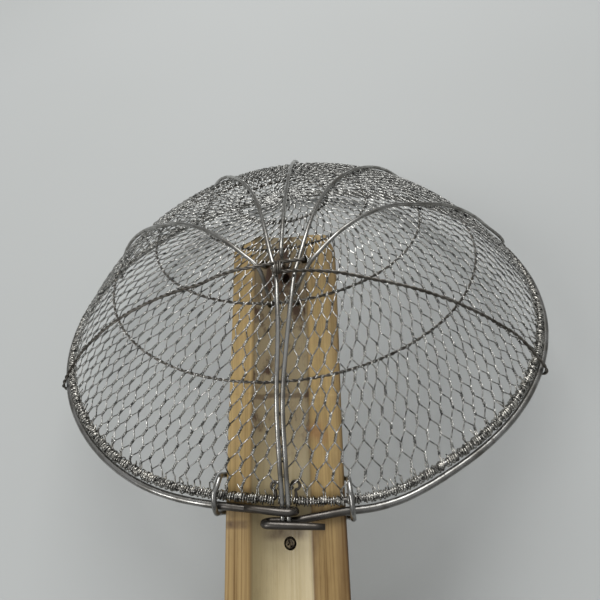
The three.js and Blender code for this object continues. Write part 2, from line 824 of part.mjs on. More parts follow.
ringRadii.forEach((radius, i) => {
  const place = domePoint(0, radius, -ringDrop);
  const ring = new THREE.TorusGeometry(place.y, ringWire / 2, 5, 48);
  const mesh = piece(rest, `ring_${i + 1}`, outward(ring), steel);
  mesh.position.z = place.z;
});

piece(rest, "pair_rib_left", wire(
  pairRibPoints(-pairGap / 2, hubPairLeft, pairLeftEnd, pairLeftBow), ribRadius, 6), steel);
piece(rest, "pair_rib_right", wire(
  pairRibPoints(pairGap / 2, hubPairRight, pairRightEnd, pairRightBow), ribRadius, 6), steel);
piece(rest, "centre_rib", wire(centreRib, ribRadius, 6), steel);
piece(rest, "side_rib", wire(sideRib, ribRadius, 6), steel);
piece(rest, "cross_wire_left", wire(
  crossPoints(crossLeftTip, crossLeftY, -1, crossLeftEnd), crossRadius, 6), darkSteel);
piece(rest, "cross_wire_right", wire(
  crossPoints(crossRightTip, crossRightY, 1, crossRightEnd), crossRadius, 6), darkSteel);
piece(rest, "hub_tie", loopWire(tieControls(), 30, tieWire / 2, 5), darkSteel);
piece(rest, "handle_lashing", lashing, steel);

// The strainer lies dome up on the far rim and on the back edge of the grip end.
const gripBack = slatPoint(0, slatInnerEnd - slatLength, -slatThickness);
const hookOuter = rimRadius + clearance + ribWire + 0.05;
let lean = 0;
for (let i = 0; i < 20; i += 1) {
  const fall = -hookOuter * Math.cos(lean) - gripBack.z;
  const reach = bowlRadius + hookOuter * Math.sin(lean) * -1 - gripBack.y;
  lean = Math.atan2(fall, reach);
}
rest.rotation.x = -lean;
strainer.updateMatrixWorld(true);
const box = new THREE.Box3().setFromObject(strainer, true);
rest.position.set(-(box.min.x + box.max.x) / 2, -(box.min.y + box.max.y) / 2, -box.min.z);
console.log("lean degrees", THREE.MathUtils.radToDeg(lean).toFixed(2));
strainer.updateMatrixWorld(true);

export default strainer;
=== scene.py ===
"""Wire noodle strainer on a split-bamboo handle, dressed over its CAD frame."""
import logging
import math
from dataclasses import dataclass, field
from enum import Enum
from typing import Callable, Iterable, Sequence

import bpy
import numpy as np
from mathutils import Matrix, Vector


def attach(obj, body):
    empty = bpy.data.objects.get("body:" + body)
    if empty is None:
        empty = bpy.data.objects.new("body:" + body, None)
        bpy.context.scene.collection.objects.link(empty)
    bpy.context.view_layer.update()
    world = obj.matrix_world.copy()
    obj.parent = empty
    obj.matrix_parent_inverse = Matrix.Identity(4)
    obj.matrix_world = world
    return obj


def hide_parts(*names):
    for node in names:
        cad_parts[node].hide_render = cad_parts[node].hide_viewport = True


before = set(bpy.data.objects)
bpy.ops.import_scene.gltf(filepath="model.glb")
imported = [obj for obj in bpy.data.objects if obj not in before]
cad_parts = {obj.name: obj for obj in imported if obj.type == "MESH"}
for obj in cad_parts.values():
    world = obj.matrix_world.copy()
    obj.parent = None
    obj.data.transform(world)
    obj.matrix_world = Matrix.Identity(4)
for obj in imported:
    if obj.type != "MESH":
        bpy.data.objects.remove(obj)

LOG = logging.getLogger("strainer")
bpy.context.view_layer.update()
MM = 0.001
TINY = 1e-12
Colour = tuple[float, float, float]
Place = tuple[float, float, float]
Span = tuple[float, float]
Points = np.ndarray


class Slot(Enum):
    """Material slots of the record."""

    BAMBOO = "bamboo"
    STEEL = "steel_wire"
    NET = "net_wire"
    DARK = "dark_wire"


def srgb(red: float, green: float, blue: float) -> Colour:
    """Turn display values from 0 to 255 into a linear colour.

    Args:
        red: Display red.
        green: Display green.
        blue: Display blue.

    Returns:
        The linear colour.
    """
    def one(value: float) -> float:
        """Return one linear channel."""
        part = value / 255.0
        return part / 12.92 if part <= 0.04045 else ((part + 0.055) / 1.055) ** 2.4

    return one(red), one(green), one(blue)


class Shade:
    """A shader socket whose operators add Math nodes."""

    def __init__(self, graph: "Graph", socket: bpy.types.NodeSocket) -> None:
        """Keep the graph and the socket."""
        self.graph = graph
        self.socket = socket

    def _math(self, operation: str, first: object, second: object) -> "Shade":
        """Add a Math node of two operands."""
        return self.graph.node("ShaderNodeMath", {"operation": operation}, {0: first, 1: second})

    def __add__(self, other: object) -> "Shade":
        """Return self + other."""
        return self._math("ADD", self, other)

    def __sub__(self, other: object) -> "Shade":
        """Return self - other."""
        return self._math("SUBTRACT", self, other)

    def __rsub__(self, other: object) -> "Shade":
        """Return other - self."""
        return self._math("SUBTRACT", other, self)

    def __mul__(self, other: object) -> "Shade":
        """Return self * other."""
        return self._math("MULTIPLY", self, other)

    def __truediv__(self, other: object) -> "Shade":
        """Return self / other."""
        return self._math("DIVIDE", self, other)

    __radd__ = __add__
    __rmul__ = __mul__

    def size(self) -> "Shade":
        """Return the absolute value."""
        return self._math("ABSOLUTE", self, 0.0)

    def between(self, low: float, high: float) -> "Shade":
        """Return a smooth step from 0 at low to 1 at high."""
        return self.graph.node(
            "ShaderNodeMapRange",
            {"interpolation_type": "SMOOTHSTEP"},
            {"Value": self, "From Min": low, "From Max": high},
        )

    def within(self, low: float, high: float) -> "Shade":
        """Return a smooth step from 1 at low to 0 at high."""
        return 1.0 - self.between(low, high)


def blend(shades: Sequence[Shade], weights: Sequence[float]) -> Shade:
    """Return the sum of shades, each with its weight."""
    return sum(shade * weight for shade, weight in zip(shades, weights, strict=True))


class Graph:
    """A node tree of a material or of the world."""

    def __init__(self, tree: bpy.types.NodeTree) -> None:
        """Keep the tree and find its shader."""
        self.tree = tree
        self.shader = next(node for node in tree.nodes if node.type in {"BSDF_PRINCIPLED", "BACKGROUND"})

    @classmethod
    def start(cls, name: str) -> tuple["Graph", bpy.types.Material]:
        """Start a material with a Principled shader.

        Args:
            name: The material's name.

        Returns:
            The graph and its material.
        """
        material = bpy.data.materials.new(name)
        material.use_nodes = True
        return cls(material.node_tree), material

    def put(self, socket: bpy.types.NodeSocket, value: object) -> None:
        """Link or set one input socket.

        Args:
            socket: The input.
            value: A shade to link, or the value to set.
        """
        if isinstance(value, Shade):
            self.tree.links.new(value.socket, socket)
        elif isinstance(value, tuple) and socket.type == "RGBA":
            socket.default_value = (*value, 1.0)
        else:
            socket.default_value = value

    def node(
        self,
        kind: str,
        settings: dict[str, object] | None = None,
        inputs: dict[object, object] | None = None,
        out: object = 0,
    ) -> Shade:
        """Add a node.

        Args:
            kind: The node's type.
            settings: Its own settings.
            inputs: Values or links of its sockets, by name or place.
            out: The output to hand back.

        Returns:
            The wrapped output socket.
        """
        made = self.tree.nodes.new(kind)
        for key, value in (settings or {}).items():
            setattr(made, key, value)
        for key, value in (inputs or {}).items():
            self.put(made.inputs[key], value)
        return Shade(self, made.outputs[out])

    def mix(self, factor: object, first: object, second: object) -> Shade:
        """Mix two colours by a factor."""
        return self.node("ShaderNodeMix", {"data_type": "RGBA"}, {0: factor, 6: first, 7: second}, out=2)

    def place(self, scale: Place = (1.0, 1.0, 1.0)) -> Shade:
        """Return the object's own coordinates, scaled by axis."""
        where = self.node("ShaderNodeTexCoord", out="Object")
        return self.node("ShaderNodeMapping", None, {"Vector": where, "Scale": scale})

    def axis(self, where: Shade, name: str) -> Shade:
        """Return one coordinate of a place."""
        return self.node("ShaderNodeSeparateXYZ", None, {0: where}, out=name)

    def distance(self, where: Shade, place: Sequence[float]) -> Shade:
        """Return the distance of the surface from a place."""
        inputs = {0: where, 1: tuple(place)}
        return self.node("ShaderNodeVectorMath", {"operation": "DISTANCE"}, inputs, out="Value")

    def noise(self, where: Shade, scale: float, detail: float = 2.0, rough: float = 0.5) -> Shade:
        """Return a noise value at a place."""
        inputs = {"Vector": where, "Scale": scale, "Detail": detail, "Roughness": rough}
        return self.node("ShaderNodeTexNoise", None, inputs)

    def bump(self, height: Shade, strength: float, distance: float) -> None:
        """Feed a height into the shader's normal."""
        inputs = {"Strength": strength, "Distance": distance, "Height": height}
        self.put(self.shader.inputs["Normal"], self.node("ShaderNodeBump", None, inputs))

    def feed(self, **values: object) -> None:
        """Set or link the shader's inputs, with underscores for spaces."""
        for key, value in values.items():
            self.put(self.shader.inputs[key.replace("_", " ")], value)


@dataclass(frozen=True)
class WireFinish:
    """Drawn steel wire with bright and dull patches and stains; at a fine patch scale the patches are
    painted glints and painted shade along the wire.
    """

    name: str
    bright: Colour
    dull: Colour
    stain: Colour
    stain_level: float
    smooth: float
    rough: float
    patch: float = 90.0
    patch_edge: Span = (0.35, 0.68)
    grain: float = 2600.0
    grain_rough: float = 0.08
    metallic: float = 0.9
    stain_scale: float = 3.1
    stain_edge: float = 0.12
    stain_cover: float = 0.85
    stain_rough: float = 0.2
    stain_matt: float = 0.45
    dark_edge: Span = (17.0 * MM, 34.0 * MM)
    dark_sway: float = 6.0 * MM
    dark_cover: float = 0.8
    dark_rough: float = 0.08
    patch_relief: float = 0.6
    relief: float = 0.25
    relief_depth: float = 0.1 * MM

    def material(self, handled: Sequence[float] | None = None) -> bpy.types.Material:
        """Return the wire's material.

        Args:
            handled: Place round which the wire has gone dark, if any.

        Returns:
            The material.
        """
        graph, material = Graph.start(self.name)
        where = graph.place()
        patch = graph.noise(where, self.patch, detail=4.0, rough=0.6).between(*self.patch_edge)
        fine = graph.noise(where, self.grain)
        stains = graph.noise(where, self.patch * self.stain_scale, detail=3.0, rough=0.65)
        spots = stains.between(self.stain_level, self.stain_level + self.stain_edge)
        colour = graph.mix(patch, self.bright, self.dull)
        rough = self.smooth + (self.rough - self.smooth) * patch
        rough = rough + spots * self.stain_rough + (fine - 0.5) * self.grain_rough
        if handled is not None:
            away = graph.distance(where, handled) + (patch - 0.5) * self.dark_sway
            dark = away.within(*self.dark_edge)
            colour = graph.mix(dark * self.dark_cover, colour, self.stain)
            rough = rough + dark * self.dark_rough
        colour = graph.mix(spots * self.stain_cover, colour, self.stain)
        graph.feed(Base_Color=colour, Roughness=rough, Metallic=self.metallic - spots * self.stain_matt)
        graph.bump(fine + patch * self.patch_relief, self.relief, self.relief_depth)
        return material


@dataclass(frozen=True)
class Slat:
    """Sizes of the bamboo slat in its own frame. Millimetres."""

    width: float = 44.0
    length: float = 350.0
    thickness: float = 8.8
    edge: float = 5.5
    back_flat: float = 16.0
    channel_width: float = 22.4
    channel_place: float = -1.4
    channel_depth: float = 2.4
    lean_out: float = 1.75


@dataclass(frozen=True)
class Grain:
    """A noise stretched along the object's axes."""

    scale: Place
    detail: float
    rough: float

    def shade(self, graph: Graph) -> Shade:
        """Return the noise value."""
        return graph.noise(graph.place(self.scale), 1.0, self.detail, self.rough)


@dataclass(frozen=True)
class BambooFinish:
    """Planed bamboo: fibrous side strips, a paler channel and a smooth skin at the back."""

    name: str = "planed_bamboo"
    strip: Colour = srgb(193, 164, 108)
    strip_dark: Colour = srgb(102, 73, 26)
    channel: Colour = srgb(190, 174, 136)
    channel_dark: Colour = srgb(156, 138, 98)
    # painted shade: the darker tone laid on the left side of the channel
    channel_wall_shade: Colour = srgb(121, 106, 70)
    skin: Colour = srgb(160, 138, 88)
    # colour of scorched soiling, also taken by the painted shade under the hooks, the hoops and the net
    scorch_and_shade: Colour = srgb(70, 46, 24)
    rust: Colour = srgb(150, 84, 44)
    fibre: Grain = Grain((1100.0, 8.0, 900.0), 5.0, 0.65)
    streak: Grain = Grain((260.0, 3.0, 230.0), 4.0, 0.6)
    cloud: Grain = Grain((70.0, 26.0, 60.0), 4.0, 0.6)
    pores: Grain = Grain((2600.0, 90.0, 2400.0), 2.0, 0.5)
    blot: Grain = Grain((120.0, 70.0, 120.0), 5.0, 0.65)
    lean_run: float = 110.0 * MM
    line_edge: Span = (0.46, 0.64)
    band_edge: Span = (0.4, 0.64)
    # darker toward the grip from handling, and lighter under the net as painted light
    held_and_lit_run: Span = (-14.0 * MM, 30.0 * MM)
    worn_cloud: Span = (0.45, 0.7)
    wear_and_light: tuple[float, ...] = (0.28, 0.26, 0.16, 0.5)
    faded_cloud: Span = (0.4, 0.7)
    faded: tuple[float, ...] = (0.12, 0.2, 0.3)
    # painted shade on the left side of the channel: its reach across, its run along, its strength and how
    # much it fades inward
    wall_shade_across: Span = (-13.0 * MM, -1.0 * MM)
    wall_shade_run: Span = (-5.0 * MM, 30.0 * MM)
    wall_shade_cover: float = 0.9
    wall_shade_loss: float = 0.65
    skin_depth: Span = (-5.2 * MM, -4.6 * MM)
    ragged: float = 1.2 * MM
    channel_edge: Span = (-0.6 * MM, 0.2 * MM)
    seam_inside: float = 1.0 * MM
    seam_outside: float = 0.9 * MM
    knot_place: float = 45.0 * MM
    knot_sway: float = 6.0 * MM
    knot_edge: Span = (0.4 * MM, 1.6 * MM)
    # soiling and painted shade over the slat under the net, mostly in the channel, and in a band under the
    # hoops and hooks
    grime_and_shade_run: Span = (4.0 * MM, 36.0 * MM)
    grime_and_shade_strip: float = 0.02
    grime_and_shade_channel: float = 0.75
    hoop_place: float = 1.0 * MM
    hoop_edge: Span = (3.0 * MM, 13.0 * MM)
    hoop_grime_and_shade: float = 0.2
    rim_edge: Span = (20.5 * MM, 22.2 * MM)
    rim_dirt: float = 0.12
    right_edge: Span = (16.5 * MM, 21.5 * MM)
    right_dirt: float = 0.3
    smudge_place: Span = (-17.6 * MM, -0.6 * MM)
    smudge_size: Span = (6.0 * MM, 2.0 * MM)
    smudge_across: Span = (0.5, 1.0)
    smudge_along: Span = (0.3, 1.0)
    smudge_blot: Span = (0.3, 0.5)
    # painted contact shadow and dirt under the lower hook: its place along, its run, its reach across and
    # its blotches
    hook_place: float = -4.2 * MM
    hook_along: Span = (0.6 * MM, 3.0 * MM)
    hook_across: Span = (5.0 * MM, 10.5 * MM)
    hook_blot: Span = (0.3, 0.55)
    blot_edge: Span = (0.5, 0.72)
    blot_share: float = 0.16
    pore_edge: Span = (0.6, 0.75)
    # weights of: painted contact shadow under the hooks, blots, soiling and painted shade under the net and
    # hoops, pores, seam, knot, edges and smudge
    dirt_and_shade_weights: tuple[float, ...] = (0.5, 1.0, 0.5, 0.16, 0.4, 0.4, 1.0, 0.5)
    hub_place: Place = (2.0 * MM, 92.0 * MM, -2.0 * MM)
    hub_edge: Span = (4.0 * MM, 18.0 * MM)
    hub_blot: Span = (0.28, 0.6)
    hub_cover: float = 0.75
    rust_place: Place = (13.4 * MM, 30.3 * MM, 0.0)
    rust_edge: Span = (1.0 * MM, 6.5 * MM)
    rust_blot: Span = (0.38, 0.6)
    rust_cover: float = 0.5
    rough: float = 0.5
    rough_weights: tuple[float, ...] = (0.18, 0.08, -0.06)
    relief_weights: tuple[float, ...] = (0.7, 0.3, 0.4, -0.8)
    relief: float = 0.4
    relief_depth: float = 0.4 * MM

    def material(self, slat: Slat) -> bpy.types.Material:
        """Return the bamboo's material.

        Args:
            slat: The slat's sizes.

        Returns:
            The material, laid out in the slat's own frame.
        """
        ground = BambooGround(self, slat)
        graph, blot = ground.graph, ground.blot
        near_hub = graph.distance(ground.where, self.hub_place).within(*self.hub_edge)
        soaked = near_hub * blot.between(*self.hub_blot) * self.hub_cover
        # Scorched soiling, the hub stain and the painted shade under the hooks, the hoops and the net
        # darken the face.
        colour = graph.mix(self.dirt_and_shade(ground) + soaked, self.face(ground), self.scorch_and_shade)
        near_rust = graph.distance(ground.where, self.rust_place).within(*self.rust_edge)
        rust = near_rust * blot.between(*self.rust_blot) * self.rust_cover
        colour = graph.mix(rust, colour, self.rust)
        rough = self.rough + blend((ground.lines, ground.bands, ground.in_channel), self.rough_weights)
        graph.feed(Base_Color=colour, Roughness=rough)
        height = blend((ground.fibre, ground.pores, blot, ground.knot), self.relief_weights)
        graph.bump(height, self.relief, self.relief_depth)
        return ground.material

    def face(self, ground: "BambooGround") -> Shade:
        """Return the clean colour of the strips, the channel and the skin, with painted shade on the left
        side of the channel, and strips lighter under the net as painted light and darker toward the grip
        from handling.

        Args:
            ground: The shared coordinates and grains.

        Returns:
            The colour.
        """
        graph, across, along = ground.graph, ground.across, ground.along
        clouds = ground.cloud.between(*self.worn_cloud)
        # The last layer darkens the strips toward the grip from handling and leaves them lighter under the
        # net as painted light.
        layers = (ground.lines, ground.bands, clouds, along.within(*self.held_and_lit_run))
        strips = graph.mix(blend(layers, self.wear_and_light), self.strip, self.strip_dark)
        layers = (ground.lines, ground.bands, ground.cloud.between(*self.faded_cloud))
        pale = graph.mix(blend(layers, self.faded), self.channel, self.channel_dark)
        # Painted shade on the left side of the channel, strongest toward the grip and fading inward.
        wall_shade = self.wall_shade_cover - along.between(*self.wall_shade_run) * self.wall_shade_loss
        pale = graph.mix(across.within(*self.wall_shade_across) * wall_shade, pale, self.channel_wall_shade)
        front = graph.mix(ground.in_channel, strips, pale)
        return graph.mix(ground.out.between(*self.skin_depth), self.skin, front)

    def dirt_and_shade(self, ground: "BambooGround") -> Shade:
        """Return how much scorched soiling and painted shade lie on the face, the painted shade under the
        hooks, the hoops and the net.

        Args:
            ground: The shared coordinates and grains.

        Returns:
            The amount.
        """
        across, along, blot, edge = ground.across, ground.along, ground.blot, ground.edge
        half = ground.half
        seam = edge.between(half - self.seam_inside, half) * edge.within(half, half + self.seam_outside)
        # Soiling and painted shade on the slat under the net, mostly in the channel, and a band of it under
        # the hoops and hooks.
        grime_and_shade = along.between(*self.grime_and_shade_run) * (self.grime_and_shade_strip + ground.in_channel * self.grime_and_shade_channel)
        grime_and_shade = grime_and_shade + (along - self.hoop_place).size().within(*self.hoop_edge) * self.hoop_grime_and_shade
        rims = (across.size().between(*self.rim_edge), across.between(*self.right_edge))
        rim = blend(rims, (self.rim_dirt, self.right_dirt))
        beside = ((across - self.smudge_place[0]) / self.smudge_size[0]).size().within(*self.smudge_across)
        above = ((along - self.smudge_place[1]) / self.smudge_size[1]).size().within(*self.smudge_along)
        smudge = beside * above * blot.between(*self.smudge_blot)
        # Painted contact shadow and dirt under the hooks, in blotches.
        under = (along - self.hook_place).size().within(*self.hook_along)
        under = under * across.size().within(*self.hook_across) * blot.between(*self.hook_blot)
        blots = blot.between(*self.blot_edge) * (self.blot_share + grime_and_shade)
        pores = ground.pores.between(*self.pore_edge)
        knot = ground.knot * ground.in_channel
        return blend((under, blots, grime_and_shade, pores, seam, knot, rim, smudge), self.dirt_and_shade_weights)


class BambooGround:
    """Coordinates and grains that all layers of the bamboo share."""

    def __init__(self, finish: BambooFinish, slat: Slat) -> None:
        """Start the material and lay out its coordinates.

        Args:
            finish: The bamboo's finish.
            slat: The slat's sizes.
        """
        self.graph, self.material = Graph.start(finish.name)
        graph = self.graph
        self.where = graph.place()
        self.along = graph.axis(self.where, "Y")
        lean = self.along.between(0.0, finish.lean_run) * (slat.lean_out * MM)
        self.across = graph.axis(self.where, "X") - lean
        self.out = graph.axis(self.where, "Z")
        self.fibre = finish.fibre.shade(graph)
        self.cloud = finish.cloud.shade(graph)
        self.pores = finish.pores.shade(graph)
        self.blot = finish.blot.shade(graph)
        self.lines = self.fibre.between(*finish.line_edge)
        self.bands = finish.streak.shade(graph).between(*finish.band_edge)
        self.half = slat.channel_width / 2 * MM
        self.edge = (self.across - slat.channel_place * MM).size() + (self.fibre - 0.5) * finish.ragged
        inside, outside = finish.channel_edge
        self.in_channel = self.edge.within(self.half + inside, self.half + outside)
        from_knot = self.along - finish.knot_place + (self.cloud - 0.5) * finish.knot_sway
        self.knot = from_knot.size().within(*finish.knot_edge)


@dataclass(frozen=True)
class FloorFinish:
    """Plain pale matt surface under the object."""

    name: str = "pale_floor"
    base: Colour = srgb(172, 174, 173)
    cloud: Colour = srgb(167, 169, 167)
    cloud_scale: float = 3.0
    rough: float = 0.75

    def material(self) -> bpy.types.Material:
        """Return the floor's material.

        Returns:
            The material.
        """
        graph, material = Graph.start(self.name)
        cloud = graph.noise(graph.place(), self.cloud_scale)
        graph.feed(Base_Color=graph.mix(cloud, self.base, self.cloud), Roughness=self.rough)
        return material


RIM_STEEL = WireFinish(
    "rim_steel", srgb(150, 149, 146), srgb(100, 98, 93), srgb(58, 52, 46), 0.62, 0.18, 0.36
)
RIB_STEEL = WireFinish(
    "rib_steel", srgb(166, 165, 161), srgb(112, 109, 103), srgb(62, 54, 46), 0.64, 0.16, 0.34
)
# Fine bright and near-black patches on the net wire are painted glints and painted shade along it.
NET_STEEL = WireFinish(
    "net_steel", srgb(208, 207, 202), srgb(12, 12, 11), srgb(18, 15, 12), 0.6, 0.12, 0.26, 700.0
)
# Fine bright and near-black patches on the winding are painted glints and painted shade along it.
WINDING_STEEL = WireFinish(
    "winding_steel", srgb(208, 205, 197), srgb(14, 12, 10), srgb(12, 10, 8), 0.57, 0.14, 0.28, 600.0
)
DARK_STEEL = WireFinish(
    "dark_steel", srgb(116, 112, 105), srgb(76, 72, 66), srgb(52, 44, 36), 0.56, 0.3, 0.52, 120.0
)
# Fine bright patches on the dark screw are painted glints.
SCREW_STEEL = WireFinish(
    "screw_steel", srgb(186, 168, 136), srgb(44, 34, 22), srgb(36, 26, 18), 0.46, 0.26, 0.46, 500.0
)


def unit(vectors: Points) -> Points:
    """Return rows scaled to length one."""
    return vectors / np.maximum(np.linalg.norm(vectors, axis=-1, keepdims=True), TINY)


def carry(tangent: Points) -> Points:
    """Carry a direction across a path along it without twist.

    Args:
        tangent: The path's direction at each point.

    Returns:
        The direction across at each point.
    """
    start = np.array([1.0, 0.0, 0.0]) if abs(tangent[0, 0]) < 0.8 else np.array([0.0, 0.0, 1.0])
    across = np.empty_like(tangent)
    here = start - tangent[0] * start.dot(tangent[0])
    for i, along in enumerate(tangent):
        here = unit(here - along * here.dot(along))
        across[i] = here
    return across


def refine(points: Sequence[Sequence[float]], pieces: int, closed: bool = False) -> Points:
    """Return a smooth path through points.

    Args:
        points: Points the path passes.
        pieces: Steps between two of them.
        closed: Whether the path closes.

    Returns:
        The finer points.
    """
    given = np.asarray(points, float)
    if closed:
        padded = np.vstack([given[-1:], given, given[:2]])
    else:
        padded = np.vstack([2 * given[:1] - given[1:2], given, 2 * given[-1:] - given[-2:-1]])
    levels = (((0, 1), (1, 2), (2, 3)), ((0, 2), (1, 3)), ((1, 2),))
    result = []
    for four in (padded[i:i + 4] for i in range(len(padded) - 3)):
        gaps = np.maximum(np.linalg.norm(np.diff(four, axis=0), axis=1), 1e-6)
        knots = np.concatenate([[0.0], np.cumsum(gaps ** 0.5)])
        for step in range(pieces):
            t = knots[1] + (knots[2] - knots[1]) * step / pieces
            row = list(four)
            for level in levels:
                row = [
                    ((knots[b] - t) * first + (t - knots[a]) * second) / (knots[b] - knots[a])
                    for (a, b), first, second in zip(level, row, row[1:])
                ]
            result.append(row[0])
    if not closed:
        result.append(given[-1])
    return np.array(result)


def resample(points: Points, step: float) -> Points:
    """Return points a given distance apart along a path.

    Args:
        points: The path.
        step: The distance.

    Returns:
        The new points, with both ends kept.
    """
    gaps = np.linalg.norm(np.diff(points, axis=0), axis=1)
    reach = np.concatenate([[0.0], np.cumsum(gaps)])
    count = max(2, int(round(reach[-1] / step)))
    places = np.linspace(0.0, reach[-1], count + 1)
    return np.column_stack([np.interp(places, reach, points[:, axis]) for axis in range(3)])


def smoothstep(value: float, low: float, high: float) -> float:
    """Return a smooth step from 0 at low to 1 at high."""
    part = min(max((value - low) / (high - low), 0.0), 1.0)
    return part * part * (3 - 2 * part)


def compass(angle: Points) -> tuple[Points, Points]:
    """Return the directions outward and round the bowl's axis.

    Args:
        angle: Angles from the far side, in radians.

    Returns:
        Both directions at each angle.
    """
    flat = np.zeros_like(angle)
    outward = np.column_stack([np.sin(angle), np.cos(angle), flat])
    return outward, np.column_stack([outward[:, 1], -outward[:, 0], flat])


class MeshBag:
    """Vertices and faces gathered for one object."""

    strand_swell = 1.04

    def __init__(self) -> None:
        """Start empty."""
        self.verts: list[Points] = []
        self.faces: list[list[int]] = []
        self.count = 0

    def add(self, verts: Points, faces: Iterable[Sequence[int]]) -> None:
        """Add a block of vertices and its faces.

        Args:
            verts: Vertices in millimetres.
            faces: Faces by the block's own indices.
        """
        start = self.count
        self.verts.append(verts)
        self.faces.extend([index + start for index in face] for face in faces)
        self.count += len(verts)

    def skin(self, rows: Points, closed: bool = False) -> None:
        """Join rows of points by faces, with end faces on an open run.

        Args:
            rows: Closed outlines of one count, one after another.
            closed: Whether the last row joins the first.
        """
        count, sides = rows.shape[:2]
        faces: list[tuple[int, ...]] = []
        for i in range(count if closed else count - 1):
            low, high = i * sides, ((i + 1) % count) * sides
            for k in range(sides):
                n = (k + 1) % sides
                faces.append((low + k, low + n, high + n, high + k))
        if not closed:
            faces.append(tuple(range(sides - 1, -1, -1)))
            faces.append(tuple(range((count - 1) * sides, count * sides)))
        self.add(rows.reshape(-1, 3), faces)

    def sweep(
        self, points: Points, radius: float | Points, sides: int = 10,
        normals: Points | None = None, closed: bool = False,
    ) -> None:
        """Sweep a round section along points.

        Args:
            points: Centre line in millimetres.
            radius: Radius of the section, one for all or one at each point.
            sides: Sides of the section.
            normals: A direction across the wire at each point, where one is known.
            closed: Whether the last point joins the first.
        """
        if closed:
            tangent = unit(np.roll(points, -1, 0) - np.roll(points, 1, 0))
        else:
            tangent = unit(np.vstack([points[1:], points[-1:]]) - np.vstack([points[:1], points[:-1]]))
        if normals is None:
            across = carry(tangent)
        else:
            across = unit(normals - tangent * (normals * tangent).sum(1, keepdims=True))
        side = np.cross(tangent, across)
        turn = (np.arange(sides) * (2 * math.pi / sides))[None, :, None]
        circle = np.cos(turn) * across[:, None] + np.sin(turn) * side[:, None]
        size = np.broadcast_to(np.asarray(radius, float), (len(points),))
        self.skin(points[:, None] + size[:, None, None] * circle, closed)

    def twist(
        self, path: Points, across: Points, side: Points, turn: Points, radius: float, sides: int,
        closed: bool = False,
    ) -> None:
        """Wind two strands round each other along a path.

        Args:
            path: Their common middle line.
            across: A direction across the path at each point.
            side: The direction square to both at each point.
            turn: Angle of the first strand at each point.
            radius: Radius of a strand.
            sides: Sides of its section.
            closed: Whether the path closes.
        """
        for half in (0.0, math.pi):
            angle = (turn + half)[:, None]
            shift = radius * (np.cos(angle) * across + np.sin(angle) * side)
            self.sweep(path + shift, radius * self.strand_swell, sides, across, closed)

    def to_object(
        self, name: str, material: bpy.types.Material, matrix: Matrix, bake: bool = True
    ) -> bpy.types.Object:
        """Make the mesh object.

        Args:
            name: The object's name.
            material: Its material.
            matrix: Where its own frame lies.
            bake: Whether the mesh itself is moved there.

        Returns:
            The object, linked to the scene.
        """
        mesh = bpy.data.meshes.new(name)
        mesh.from_pydata((np.vstack(self.verts) * MM).tolist(), [], self.faces)
        if bake:
            mesh.transform(matrix)
        mesh.validate()
        mesh.shade_smooth()
        mesh.materials.append(material)
        made = bpy.data.objects.new(name, mesh)
        bpy.context.scene.collection.objects.link(made)
        if not bake:
            made.matrix_world = matrix
        return made


